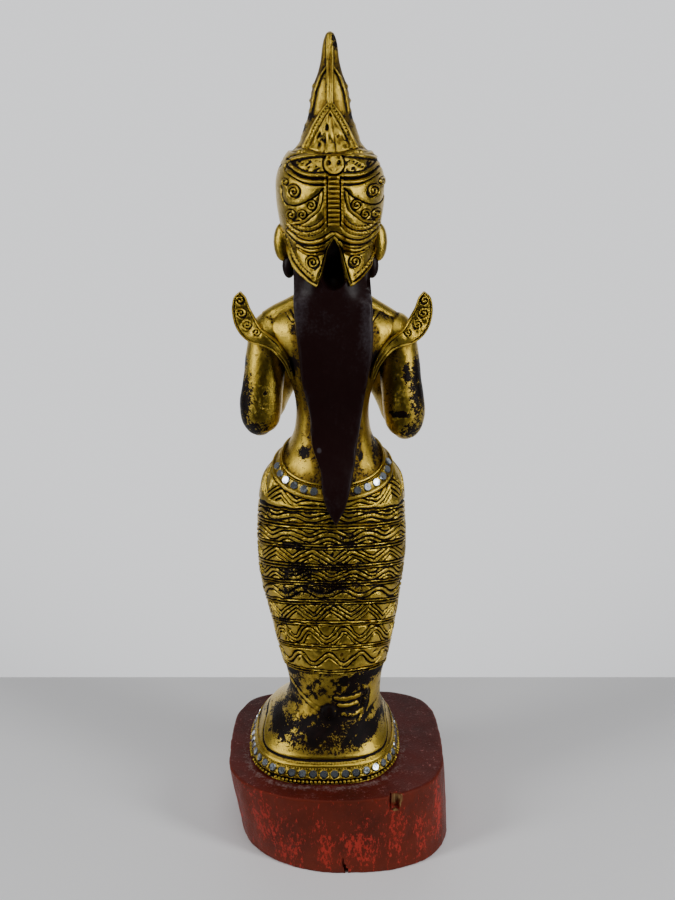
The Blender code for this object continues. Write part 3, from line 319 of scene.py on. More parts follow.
# First chip, small chip, small hole and split beside the first chip: middle, three reaches, seed, roughness
CHIPS = (
    (-46.5, 75.4, 66.5, 5.0, 4.6, 10.5, 71, 0.05), (-31.0, 81.8, 71.0, 4.4, 3.0, 3.4, 72, 0.10),
    (30.0, 84.0, 49.0, 0.9, 3.0, 0.9, 73, 0.05), (-42.6, 79.0, 65.5, 1.3, 9.0, 8.0, 75, 0.10),
)
CHIP_MIDDLE = CHIPS[0][:3]
CHIP_REACH = (5.4, 4.9, 10.9)

# Drying crack from the block's foot up: place, height, half width, seed
CRACK = ((-6.4, 1.0, 1.3, 74), (-5.0, 5.5, 0.9, 76), (-3.4, 10.5, 0.55, 77))

# Scuffs on the block's sides that show the vermilion: angle in degrees from +X, height, reaches, strength
SCUFFS = (
    (46.0, 44.0, 6.0, 26.0, 0.8), (52.0, 30.0, 7.0, 14.0, 0.65), (62.0, 18.0, 8.0, 17.0, 0.85),
    (83.0, 24.0, 6.0, 22.0, 0.8), (101.0, 26.0, 11.0, 20.0, 0.85), (122.0, 40.0, 6.0, 34.0, 0.7),
    (136.0, 28.0, 7.0, 26.0, 0.55), (148.0, 40.0, 5.0, 30.0, 0.8), (72.0, 50.0, 14.0, 14.0, 0.3),
    (170.0, 30.0, 9.0, 26.0, 0.8), (20.0, 30.0, 10.0, 26.0, 0.7), (210.0, 32.0, 14.0, 24.0, 0.8),
    (255.0, 24.0, 16.0, 20.0, 0.8), (300.0, 36.0, 12.0, 26.0, 0.8), (335.0, 26.0, 10.0, 20.0, 0.8),
)

GILT, HAIR_LACQUER = 0, 1


def read(rows, at, column=1):
    """Read one column of a table of stations on a smooth curve."""
    table = np.array([(row[0], row[column]) for row in rows], dtype=float)
    if table[0, 0] > table[-1, 0]:
        table = table[::-1]
    keys, values = table[:, 0], table[:, 1]
    slopes = np.gradient(values, keys)
    at = np.clip(at, keys[0], keys[-1])
    index = np.clip(np.searchsorted(keys, at) - 1, 0, len(keys) - 2)
    span = keys[index + 1] - keys[index]
    t = (at - keys[index]) / span
    start = (1.0 + 2.0 * t) * (1.0 - t) ** 2 * values[index]
    end = t * t * (3.0 - 2.0 * t) * values[index + 1]
    leave = t * (1.0 - t) ** 2 * span * slopes[index]
    arrive = t * t * (t - 1.0) * span * slopes[index + 1]
    return start + end + leave + arrive


def straight(rows, at, column=1):
    """Read one column of a table of stations on straight lines."""
    return np.interp(at, [row[0] for row in rows], [row[column] for row in rows])


def step(value, start, end):
    """Rise smoothly from 0 at the start to 1 at the end."""
    t = np.clip((value - start) / (end - start), 0.0, 1.0)
    return t * t * (3.0 - 2.0 * t)


def rib(away, inner, outer):
    """Round profile of a carved line that runs between two distances."""
    t = np.clip((away - inner) / (outer - inner), 0.0, 1.0)
    return np.sin(math.pi * t) ** 0.6


def ripple(points, wavelength, seed):
    """Smooth unevenness of about -1 to 1 at points in space."""
    chance = np.random.default_rng(seed)
    total = np.zeros(points.shape[:-1])
    for _ in range(7):
        direction = chance.normal(size=3)
        direction *= chance.uniform(0.6, 1.5) * 2.0 * math.pi / wavelength / np.linalg.norm(direction)
        total += np.sin(points @ direction + chance.uniform(0.0, 2.0 * math.pi))
    return total / 3.2


def bundle(x, y, height):
    """Put coordinates of equal shape, or single numbers, together as points."""
    return np.stack(np.broadcast_arrays(x, y, height), axis=-1).astype(float)


def line_distance(points, places):
    """Distance of flat points to a line through places, and how far along it they lie."""
    places = smooth_line(places)
    best = np.full(points.shape[:-1], 1e9)
    along = np.zeros(points.shape[:-1])
    run = 0.0
    for start, end in zip(places[:-1], places[1:]):
        way = end - start
        length = float(np.linalg.norm(way))
        t = np.clip(((points - start) @ way) / (length * length), 0.0, 1.0)
        away = np.linalg.norm(points - start - t[..., None] * way, axis=-1)
        nearer = away < best
        along = np.where(nearer, run + t * length, along)
        best = np.where(nearer, away, best)
        run += length
    return best, along


def smooth_line(places):
    """Round off a line through places by reading it at closer steps."""
    table = [(float(index),) + tuple(place) for index, place in enumerate(places)]
    at = np.linspace(0.0, len(places) - 1.0, 5 * (len(places) - 1) + 1)
    return np.stack((read(table, at, 1), read(table, at, 2)), axis=-1)


def spiral_places(x, height, radius, turns, hand):
    """Places along a spiral that winds in to its middle."""
    at = np.linspace(0.0, 1.0, int(14 * turns) + 2)
    reach = radius * (1.0 - 0.86 * at)
    angle = hand * (2.0 * math.pi * turns * at) - 0.5 * math.pi
    return np.stack((x + reach * np.cos(angle), height + reach * np.sin(angle)), axis=-1)


def carve_line(flat, kind, width, strength, places):
    """Relief of one carved line on flat points."""
    away, along = line_distance(flat, places)
    if kind == "groove":
        return -strength * (1.0 - step(away, 0.0, 0.62 * width))
    line = strength * rib(away, -0.62 * width, 0.62 * width)
    if kind != "soft":
        line = line - 0.45 * strength * rib(away, 0.62 * width, width + 0.6)
    if kind == "beads":
        line = line * (0.05 + 1.05 * np.abs(np.sin(math.pi * along / 2.4)))
    return line


def carve_spiral(flat, x, height, radius, turns, hand):
    """Relief of a round boss with a spiral line on it."""
    reach = np.hypot(flat[..., 0] - x, flat[..., 1] - height)
    near = reach < 1.5 * radius
    relief = np.zeros(flat.shape[:-1])
    if not near.any():
        return relief
    places = spiral_places(x, height, radius, turns, hand)
    away = np.full(flat.shape[:-1], 9.0)
    for start, end in zip(places[:-1], places[1:]):
        way = end - start
        t = np.clip(((flat - start) @ way) / float(way @ way), 0.0, 1.0)
        away = np.minimum(away, np.linalg.norm(flat - start - t[..., None] * way, axis=-1))
    line = rib(away, -0.75, 0.75)
    floor = -0.9 * (1.0 - step(reach, 0.85 * radius, 1.22 * radius))
    return floor + 1.7 * line


def skin(rows, finish=GILT, cut=None, both=False):
    """Close a grid of points, wrapped round its columns, into a form with its faces outwards."""
    count, columns = rows.shape[:2]
    points = rows.reshape(-1, 3)
    # cut: how deep a point lies in a carved recess, up to 2; the gilding paints it darker, partly as dirt and
    # showing lacquer and partly as painted shade.
    shade = np.zeros(len(points)) if cut is None else np.clip(cut, 0.0, 2.0).reshape(-1)
    ring = np.arange(columns)
    after = (ring + 1) % columns
    faces = []
    spans = count if both else count - 1
    for row in range(spans):
        low, high = row * columns, ((row + 1) % count) * columns
        faces.append(np.stack((low + ring, low + after, high + after, high + ring), axis=-1))
    faces = np.concatenate(faces).tolist()
    if not both:
        points = np.vstack((points, rows[0].mean(axis=0), rows[-1].mean(axis=0)))
        shade = np.append(shade, (0.0, 0.0))
        low, high = len(points) - 2, len(points) - 1
        last = (count - 1) * columns
        faces += np.stack((after, ring, np.full(columns, low)), axis=-1).tolist()
        faces += np.stack((last + ring, last + after, np.full(columns, high)), axis=-1).tolist()
    return turn_outwards(points, faces), shade, finish


def turn_outwards(points, faces):
    """Turn the faces round if the form's volume comes out negative."""
    volume = 0.0
    for size in (3, 4):
        some = np.array([face for face in faces if len(face) == size], dtype=int)
        if len(some):
            first = points[some[:, 0]]
            for at in range(1, size - 1):
                cross = np.cross(points[some[:, at]], points[some[:, at + 1]])
                volume += float(np.einsum("ij,ij->", first, cross))
    if volume < 0.0:
        faces = [face[::-1] for face in faces]
    return points, faces


def make_object(name, forms):
    """Make one object, in metres, from forms that don't touch each other."""
    points, faces, shades, finishes = [], [], [], []
    start = 0
    for (corners, sides), shade, finish in forms:
        points.append(corners)
        faces += [[corner + start for corner in face] for face in sides]
        finishes += [finish] * len(sides)
        shades.append(shade)
        start += len(corners)
    corners = np.concatenate(points) + (FIGURE_X, 0.0, FIGURE_FOOT)
    mesh = bpy.data.meshes.new(name)
    mesh.from_pydata((corners * MILLIMETRE).tolist(), [], faces)
    # The cut values go on the mesh for the gilding, which paints recesses darker: dirt and painted shade.
    values = np.concatenate(shades).astype(np.float32)
    mesh.attributes.new("cut", "FLOAT", "POINT").data.foreach_set("value", values)
    for finish in ("gilt", "hair"):
        mesh.materials.append(bpy.data.materials.get(finish) or bpy.data.materials.new(finish))
    mesh.polygons.foreach_set("material_index", finishes)
    item = bpy.data.objects.new(name, mesh)
    bpy.context.scene.collection.objects.link(item)
    return item


def bake_modifiers(item):
    """Turn an object's modifiers into its plain mesh."""
    view = bpy.context.evaluated_depsgraph_get()
    mesh = bpy.data.meshes.new_from_object(item.evaluated_get(view), depsgraph=view)
    item.modifiers.clear()
    item.data = mesh


def carve(item, tool, operation):
    """Unite an object with a tool, or cut the tool out of it."""
    modifier = item.modifiers.new("carve", "BOOLEAN")
    modifier.object = tool
    modifier.operation = operation
    modifier.solver = "MANIFOLD"
    bake_modifiers(item)
    bpy.data.objects.remove(tool, do_unlink=True)


def back_share(angle):
    """Return 1 at the back, falling smoothly to 0 by the sides and over the front."""
    c = np.cos(angle)
    return (c + np.sqrt(c * c + 0.05)) / (1.0 + math.sqrt(1.05))


def level_height(height, angle):
    """Return the height at an angle of the line that has this height at the back."""
    return height - straight(LEVEL_DROP, height) * (1.0 - back_share(angle))


def corner_reach(angle, height):
    """How far past an oval the outline stands, because the hem has squarer corners."""
    share = np.clip((HEM_ROUND_FROM - height) / (HEM_ROUND_FROM - HEM_SQUARE_TO), 0.0, 1.0)
    power = 2.0 + (HEM_SQUARENESS - 2.0) * share
    return (np.abs(np.sin(angle)) ** power + np.abs(np.cos(angle)) ** power) ** (-1.0 / power)


def body_point(angle, height, stand=0.0):
    """Return points of the body's skin, pushed out by a stand."""
    reach = corner_reach(angle, height)
    x = read(BODY, height, 3) + (read(BODY, height, 1) * reach + stand) * np.sin(angle)
    y = read(BODY, height, 4) + (read(BODY, height, 2) * reach + stand) * np.cos(angle)
    return bundle(x, y, height)


def outline_lengths(height):
    """Angles round the body at a height, and the length from the back to each of them."""
    angle = np.linspace(-math.pi, math.pi, 2881)
    points = body_point(angle, np.full(angle.shape, height))
    steps = np.linalg.norm(np.diff(points, axis=0), axis=-1)
    length = np.concatenate(((0.0,), np.cumsum(steps)))
    return angle, length - 0.5 * length[-1]


def close_angles(height, back, front):
    """Angles round the body at a height, closer at the back than at the front."""
    angle, length = outline_lengths(height)
    middle = 0.5 * (angle[1:] + angle[:-1])
    density = np.where(np.abs(middle) < math.radians(104.0), 1.0 / back, 1.0 / front)
    count = np.concatenate(((0.0,), np.cumsum(np.diff(length) * density)))
    wanted = np.linspace(0.0, count[-1], int(count[-1]), endpoint=False)
    angles = np.interp(wanted, count, angle)
    return angles, np.interp(angles, angle, length)


def flat_line(away, inner, outer):
    """Flat top with soft sides of a line that runs between two distances."""
    return step(away, inner - 0.28, inner + 0.28) * (1.0 - step(away, outer - 0.28, outer + 0.28))


def band_relief(kind, height, arc, low, high, rim, crest, period):
    """Stand, from 0 to 1, of the woven lines inside one band."""
    floor, top = low + SEAM_GROOVE, high - rim
    tall = np.maximum(top - floor, 0.5)
    swing = (arc - crest) / period
    rise = SWING[kind] * tall
    if kind == "zigzag":
        line = 0.5 * (floor + top) + rise * (1.0 - 4.0 * np.abs(swing - np.round(swing)))
        lean = 4.0 * rise / period
    else:
        line = 0.5 * (floor + top) + rise * np.cos(2.0 * math.pi * swing)
        lean = rise * 2.0 * math.pi / period * np.abs(np.sin(2.0 * math.pi * swing))
    away = np.abs(height - line) / np.sqrt(1.0 + lean * lean)
    relief = flat_line(away, -9.0, LINE[kind])
    fill = step(away, FILL_FROM[kind] - 0.28, FILL_FROM[kind] + 0.28)
    if kind != "wave":
        relief = np.maximum(relief, flat_line(away, *SECOND_LINE[kind]))
    relief = np.maximum(relief, 0.86 * fill)
    inside = step(height - low, SEAM_GROOVE - 0.5, SEAM_GROOVE + 0.2)
    return relief * inside * step(high - height, rim - 0.5, rim + 0.2)


def body_relief(level, angle, arc, length):
    """Stand of the woven bands round the body, their seams broken and their lines uneven."""
    period = length / REPEATS
    spot = bundle(arc, level, 0.0)
    wander = 0.9 * ripple(spot, 30.0, 3) + 0.35 * ripple(spot, 9.0, 6)
    sway = 0.40 * ripple(spot, 40.0, 4) + 0.30 * ripple(spot, 12.0, 7)
    edges = [BANDS_TOP] + [low for _, low, _ in BANDS]
    relief = np.zeros(spot.shape[:-1])
    for (kind, low, crest), high in zip(BANDS, edges[:-1]):
        fans = low == BANDS[0][1]
        seen = (level_height(level, angle) if fans else level) + sway
        foot = level_height(low, angle) if fans else low
        head = level_height(high, angle) if fans else high
        rim = BELT_GROOVE if fans else SEAM_GROOVE
        relief += band_relief(kind, seen, arc + wander, foot, head, rim, crest, period)
        away = np.abs(level + 0.8 * sway - low)
        relief = np.maximum(relief, flat_line(away, *SEAM))
    lowest = BANDS[-1][1]
    woven = step(level, lowest - 2.4, lowest - 1.8) * (1.0 - step(level, BANDS_TOP, BANDS_TOP + 0.4))
    chips = step(ripple(spot, 5.0, 8) + 0.7 * ripple(spot, 17.0, 9), 0.85, 1.5)
    worn = 0.93 + 0.07 * ripple(spot, 8.0, 5) - 0.5 * chips
    return woven * (-0.85 + 2.25 * relief * worn)


def hem_relief(level, angle):
    """Stand of the hem's moulding: foot, seat with a rim round each glass, and ridges."""
    low, high = HEM_SEAT
    turn, round_hem = outline_lengths(0.5 * (low + high))
    place = np.interp(angle, turn, round_hem)
    pitch = (round_hem[-1] - round_hem[0]) / HEM_GLASS
    off = (place / pitch - np.round(place / pitch)) * pitch
    reach = np.hypot(off, 1.12 * (level - 0.5 * (low + high)))
    seat = step(level, low - 1.0, low - 0.4) * (1.0 - step(level, high + 0.4, high + 1.0))
    stand = seat * (-0.8 + 1.5 * rib(reach, 3.35, 4.3) + 0.9 * step(reach, 4.1, 4.6))
    groove = HEM_GROOVE + HEM_GROOVE_RISE * step(np.abs(angle), math.radians(48.0), math.radians(88.0))
    stand -= 1.0 * rib(np.abs(level - 2.7), -2.3, 2.3)
    stand += 1.1 * rib(np.abs(level - 14.6), -1.5, 1.5)
    stand -= 1.5 * (1.0 - step(np.abs(level - groove), 0.3, 1.3))
    stand += 0.7 * rib(np.abs(level - groove - 2.6), -1.5, 1.5)
    return stand * (1.0 - step(level, 40.0, 44.0))


def train_relief(level, angle, flat):
    """Stand of the cloth's low folds above the train and of the heel under it."""
    stand = np.zeros(np.broadcast(level, angle).shape)
    folds = (
        (((-3.0, 68.5), (-9.0, 67.0), (-17.0, 67.5), (-25.0, 69.0)), 3.4, 1.3),
        (((-5.0, 61.5), (-12.0, 60.6), (-20.0, 61.5)), 2.6, 1.0),
        (((-9.0, 53.6), (-16.0, 52.0), (-24.0, 53.6)), 3.2, 1.0),
        (((36.0, 74.0), (26.0, 65.0), (16.0, 59.0), (8.0, 56.0)), 2.6, 0.6),
        (((-26.5, 76.0), (-28.0, 66.0), (-26.0, 56.0), (-23.0, 47.0)), 3.4, 0.7),
    )
    for places, width, strength in folds:
        stand += carve_line(flat, "ridge", width, strength, places)
    reach = np.hypot(flat[..., 0] - 3.2, flat[..., 1] - 55.5)
    stand += 2.2 * np.sqrt(np.clip(1.0 - (reach / 6.2) ** 2, 0.0, 1.0))
    spot = bundle(flat[..., 0], 0.0, flat[..., 1])
    stand += 0.22 * ripple(spot, 7.0, 12) + 0.3 * ripple(spot, 20.0, 13)
    near = step(level, 22.0, 34.0) * (1.0 - step(level, 88.0, 92.0))
    return stand * near * step(np.cos(angle), 0.05, 0.35)


def torso_relief(level, angle, flat):
    """Stand of the collar's slanting ridges, and of breast bands at the hidden front."""
    stand = np.zeros(np.broadcast(level, angle).shape)
    both = np.stack((np.abs(flat[..., 0]), flat[..., 1]), axis=-1)
    for places in COLLAR_LINES:
        stand += carve_line(both, "ridge", 1.7, 0.8, places)
    stand *= step(np.cos(angle), -0.1, 0.2)
    front = step(-np.cos(angle), 0.1, 0.5)
    for drop, strength in ((0.0, 1.3), (5.0, 0.9), (10.0, 1.2)):
        line = 374.0 - drop - 0.012 * flat[..., 0] ** 2
        stand += front * strength * rib(np.abs(level - line), -1.4, 1.4)
    for height in (300.0, 304.5, 309.0):
        stand += front * 0.9 * rib(np.abs(level - height), -1.6, 1.6)
    return stand * step(level, 290.0, 296.0)


def make_body():
    """Body from hem to neck: the hem's moulding, the train, the woven bands and the collar."""
    angles, arc = close_angles(WIDEST_HEIGHT, 0.58, 2.4)
    levels = np.concatenate((
        np.arange(0.0, 21.0, 0.6), np.arange(21.0, 44.0, 0.9), np.arange(44.0, 92.0, 1.0),
        np.arange(92.0, 241.0, 0.56), np.arange(241.0, 248.0, 0.1), np.arange(248.0, 380.0, 2.4),
        np.arange(380.0, 397.0, 0.6), np.arange(397.0, 428.1, 3.0),
    ))
    level = levels[:, None]
    angle = angles[None, :]
    height = level_height(level, angle)
    flat = body_point(angle, height)[..., (0, 2)]
    stand = body_relief(level, angle, arc[None, :], outline_lengths(WIDEST_HEIGHT)[1][-1] * 2.0)
    stand = stand + hem_relief(level, angle)
    stand = stand + train_relief(level, angle, flat)
    stand = stand + torso_relief(level, angle, flat)
    points = body_point(angle, height, stand)
    # Painted shade: the back of the neck under the hair is painted as bare dark lacquer.
    nape_shade = 2.0 * step(level, 396.0, 402.0) * step(np.cos(angle), 0.3, 0.6)
    # Recesses of the relief get cut values: painted shade and dirt in the carving.
    return skin(points, GILT, np.maximum((0.05 - stand) / 0.45, nape_shade))


def skin_frame(angle, height):
    """Points of the skin along a level line, and the outward and upward directions there."""
    def at(turn, rise):
        return body_point(turn, level_height(height, turn) + rise)
    along = at(angle + 0.02, 0.0) - at(angle - 0.02, 0.0)
    up = at(angle, 1.0) - at(angle, -1.0)
    along /= np.linalg.norm(along, axis=-1, keepdims=True)
    out = np.cross(up, along)
    out /= np.linalg.norm(out, axis=-1, keepdims=True)
    point = at(angle, 0.0)
    flip = np.sign(np.sum(out * (point - (0.0, 0.0, 250.0)) * (1.0, 1.0, 0.0), axis=-1, keepdims=True))
    out = out * flip
    up = np.cross(out, along)
    up /= np.linalg.norm(up, axis=-1, keepdims=True)
    return point, out, up * np.sign(up[..., 2:])


def make_belt():
    """Belt that dips at the back: two dotted grooves over the seat of the glass."""
    angles, arc = close_angles(BELT_HEIGHT, 0.6, 1.8)
    point, out, up = skin_frame(angles, BELT_HEIGHT)
    section = np.array(BELT_SECTION)
    at = np.linspace(0.0, len(section) - 1.0, 4 * (len(section) - 1) + 1)
    stand = np.interp(at, np.arange(len(section)), section[:, 0])
    rise = np.interp(at, np.arange(len(section)), section[:, 1])
    grooves = sum(np.clip(1.0 - np.abs(rise - height) / wide, 0.0, 1.0) for height, wide in BELT_GROOVES)
    dots = np.cos(math.pi * arc[:, None] / 2.0) ** 2
    lift = stand[None, :] - 1.4 * dots * grooves[None, :] * (stand > 0.0)
    rows = point[:, None, :] + out[:, None, :] * lift[..., None] + up[:, None, :] * rise[None, :, None]
    # Painted shade: the cut value darkens the dotted grooves and the belt's edges where they meet the body, a
    # painted shadow under its lower edge.
    return skin(rows, GILT, (1.0 - lift) / 0.7, both=True)


def head_point(angle, height, stand):
    """Points of the head's skin, pushed out by a stand."""
    x = HEAD_X + (read(HEAD, height, 1) + stand) * np.sin(angle)
    y = read(HEAD, height, 3) + (read(HEAD, height, 2) + stand) * np.cos(angle)
    return bundle(x, y, height)


def bump(flat, x, height, wide, tall, stand):
    """Soft round swelling of the face, on both sides of its middle."""
    reach = ((np.abs(flat[..., 0]) - x) / wide) ** 2 + ((flat[..., 1] - height) / tall) ** 2
    return stand * np.exp(-reach)


def face_relief(flat):
    """Calm, plain face on even thirds, with the eyes half closed."""
    side = np.abs(flat[..., 0])
    high = flat[..., 1]
    stand = bump(flat, 12.5, 455.5, 9.5, 6.0, -1.7) + bump(flat, 15.0, 439.0, 9.0, 8.0, 1.6)
    stand += bump(flat, 0.0, 420.5, 7.5, 5.0, 1.6) + bump(flat, 0.0, 431.0, 11.0, 6.0, 1.3)
    bridge = step(high, 438.6, 441.5) * (1.0 - step(high, 456.0, 466.0))
    width = np.interp(high, (438.0, 442.0, 450.0, 466.0), (4.8, 4.4, 2.9, 2.4))
    length = np.interp(high, (438.0, 441.0, 450.0, 464.0), (6.6, 6.4, 4.2, 0.8))
    stand += bridge * length * np.exp(-(side / width) ** 2)
    stand += bump(flat, 4.3, 441.2, 1.9, 1.9, 2.4)
    lid = np.clip(1.0 - ((side - 12.6) / 7.4) ** 2 - ((high - 453.2) / 4.0) ** 2, 0.0, 1.0)
    stand += 2.9 * np.sqrt(lid)
    both = np.stack((side, high), axis=-1)
    for kind, width, strength, line in FACE_LINES:
        stand += carve_line(both, kind, width, strength, line)
    return stand


def make_head():
    """Head under the crown, an egg that narrows to the chin, with its face at the front."""
    dense = np.radians(np.concatenate((np.arange(-110.0, 110.0, 4.0), np.arange(110.0, 250.0, 1.3))))
    height = np.concatenate((np.arange(412.5, 480.0, 0.8), np.arange(480.0, 515.1, 2.5)))[:, None]
    angle = dense[None, :]
    base = head_point(angle, height, 0.0)
    flat = base[..., (0, 2)] - (HEAD_X, 0.0)
    stand = face_relief(flat) * step(-np.cos(angle), 0.25, 0.5)
    # Painted shade: the back of the head under the cap and the hair is painted as bare dark lacquer.
    nape_shade = 2.0 * step(np.cos(angle), 0.5, 0.7) * (1.0 - step(height, 458.0, 464.0))
    # Recesses of the face get cut values: painted shade and dirt in the carved lines.
    return skin(head_point(angle, height, stand), GILT, np.maximum((-0.2 - stand) / 1.2, nape_shade))


def crown_relief(height, angle, base):
    """Stand of the crown's leaves, their beaded borders, ridges and the scalloped rim."""
    half = (angle + 0.5 * math.pi) % math.pi - 0.5 * math.pi
    side = np.abs(base * np.sin(half))
    stand = np.zeros(np.broadcast(height, angle).shape)
    low_edge = straight(LOW_LEAF, height) - side
    low_in = low_edge * 0.85
    high_in = (straight(HIGH_LEAF, height) - side) * 0.9
    above_low = 1.0 - step(low_in, -2.6, -1.6)
    stand += 1.3 * step(low_in, -2.4, -1.8)
    stand += 0.9 * rib(low_in, -2.0, -0.1)
    beads = 0.25 + 0.75 * np.abs(np.sin(math.pi * height / 2.3))
    stand += 0.9 * rib(low_in, 0.3, 2.1) * beads - 0.7 * rib(low_in, 2.1, 3.3)
    stand -= 0.8 * rib(np.abs(side - 3.5 + 0.15 * (height - 515.0)), -1.0, 1.0) * step(low_in, 3.0, 4.5)
    upper = above_low * step(height, 533.0, 538.0)
    dots = 0.1 + 0.9 * np.abs(np.sin(math.pi * height / 2.2))
    stand += upper * (0.9 * rib(high_in, -3.0, -1.1) - 0.6 * rib(high_in, -1.1, -0.2))
    beaded = 0.7 + dots * rib(side, -0.9, 0.9) - 0.9 * rib(side, 0.9, 1.9)
    stand += upper * step(high_in, 0.0, 0.8) * beaded
    spire = (1.0 - step(high_in, -3.0, -2.0)) * step(height, 556.0, 562.0)
    stand += spire * (0.9 * dots * rib(side, -1.0, 1.0) - 0.9 * rib(side, 1.0, 2.2))
    flank = step(np.abs(np.sin(half)), 0.88, 0.97)
    for knob, strength in CROWN_KNOBS:
        stand += strength * flank * np.exp(-((height - knob) / 1.5) ** 2)
    field = step(low_in, 3.6, 5.2) * step(height, 511.0, 514.0)
    spot = bundle(base * np.sin(angle), 0.0, height)
    stand += field * (0.5 * ripple(spot, 8.0, 22) - 1.5 * step(ripple(spot, 5.5, 23), 0.35, 1.0))
    scallop = 505.4 + 5.0 * np.abs(np.sin(1.75 * np.clip(np.abs(half), 0.0, 1.45)))
    stand += 1.7 * (1.0 - step(height, scallop - 0.6, scallop + 0.6))
    stand -= 0.9 * rib(height - scallop, 0.2, 1.8)
    return stand


def make_crown():
    """Tall crown of overlapping pointed leaves."""
    angle = np.radians(np.concatenate((np.arange(-96.0, 96.0, 1.6), np.arange(96.0, 264.0, 2.6))))[None, :]
    steps = ((500.0, 566.0, 0.7), (566.0, 586.0, 0.9), (586.0, 589.9, 0.6))
    height = np.concatenate([np.arange(*stretch) for stretch in steps])[:, None]
    radius = read(CROWN, height)
    stand = crown_relief(height, angle, radius) * step(radius, 1.5, 5.0)
    reach = radius + stand - 0.6
    reach = np.maximum(reach, 0.5)
    points = bundle(HEAD_X + reach * np.sin(angle), CROWN_Y + reach * np.cos(angle), height)
    # Recesses of the crown get cut values: painted shade and dirt in the carving.
    return skin(points, GILT, (0.1 - stand) / 0.9)


def cap_point(across, height, stand):
    """Points over the cap, from side to side (-1 to 1), at heights on it."""
    hold = np.maximum(height, CAP_HANG)
    point = head_point(math.radians(CAP_REACH) * across, hold, stand + CAP_FLARE * (hold - height))
    point[..., 2] = height
    return point


def moth_relief(flat):
    """Stand of the moth on the cap: its ribbed body down the middle and its lined wings."""
    side = np.stack((np.abs(flat[..., 0] - HEAD_X + 2.8), flat[..., 1]), axis=-1)
    stand = np.zeros(flat.shape[:-1])
    for kind, width, strength, places in MOTH_LINES:
        stand += carve_line(side, kind, width, strength, places)
    for x, height, radius, turns in MOTH_SPIRALS:
        stand += carve_spiral(side, x, height, radius, turns, 1.0)
    middle = side[..., 0]
    high = flat[..., 1]
    length = step(high, MOTH_TAIL - 1.0, MOTH_TAIL + 1.0) * (1.0 - step(high, 495.0, 497.0))
    ribs = np.abs(np.sin(math.pi * high / MOTH_RIB_PITCH)) ** 1.3 - 0.25
    stand += length * (2.0 * ribs * (1.0 - step(middle, MOTH_HALF - 0.8, MOTH_HALF))
                       - 0.9 * rib(middle, MOTH_HALF - 0.3, MOTH_HALF + 0.9))
    rails = 0.1 + 0.9 * np.abs(np.sin(math.pi * high / 2.5))
    stand += 1.5 * length * rails * rib(middle, MOTH_HALF + 0.9, MOTH_HALF + 2.6)
    x, height, radius = MOTH_HEAD
    reach = np.hypot(middle, high - height)
    stand += 2.6 * (1.0 - step(reach, radius - 0.6, radius + 0.3)) - 1.2 * rib(reach, radius + 0.2, radius + 1.6)
    stand -= 0.9 * (1.0 - step(reach, radius - 2.4, radius - 1.4))
    stand -= 1.9 * (1.0 - step(np.hypot(middle - 3.6, high - height - 0.6), 1.2, 2.1))
    stand += 0.9 * (1.0 - step(np.hypot(middle, (high - height + 3.4) * 0.8), 0.8, 1.6))
    pits = ripple(bundle(flat[..., 0], flat[..., 1], 0.0), 2.6, 21)
    field = step(high, 495.6, 497.4) * (1.0 - step(high, 503.0, 505.0)) * step(middle, 8.0, 9.5)
    stand -= 0.8 * field * step(pits, 0.1, 0.7)
    return stand


def make_cap():
    """Cap on the back of the head, ending in two pointed lobes, with the moth carved on it."""
    across = np.linspace(-1.0, 1.0, 261)[:, None]
    drop = np.linspace(0.0, 1.0, 160)[None, :]
    foot = straight(CAP_FOOT, np.minimum(np.abs(across - CAP_TURN), 1.0))
    height = CAP_TOP + 2.0 + (foot - CAP_TOP - 2.0) * drop
    outer = cap_point(across, height, CAP_THICKNESS)
    stand = moth_relief(outer[..., (0, 2)])
    edge = np.minimum(np.minimum(drop * 94.0, (1.0 - drop) * 70.0), (1.0 - np.abs(across)) * 60.0)
    stand = stand * step(edge, 0.0, 1.2)
    outer = cap_point(across, height, CAP_THICKNESS - 0.35 + stand)
    inner = cap_point(across, height, -CAP_ROOT)
    rows, columns = outer.shape[:2]
    loops = np.concatenate((outer, inner[:, ::-1]), axis=1)
    # Painted shade: the cap's inner face, towards the head, gets a full cut value and is painted dark.
    cut = np.concatenate(((0.1 - stand) / 0.9, np.full((rows, columns), 1.0)), axis=1)
    points = loops.reshape(-1, 3)
    wide = 2 * columns
    faces = []
    for row in range(rows - 1):
        ring = np.arange(wide)
        after = (ring + 1) % wide
        low, high = row * wide, (row + 1) * wide
        faces += np.stack((low + ring, low + after, high + after, high + ring), axis=-1).tolist()
    for row, flip in ((0, True), (rows - 1, False)):
        start = row * wide
        for column in range(columns - 1):
            face = [start + column, start + column + 1, start + wide - 2 - column, start + wide - 1 - column]
            faces.append(face if not flip else face[::-1])
    return turn_outwards(points, faces), np.clip(cut, 0.0, 1.6).reshape(-1), GILT


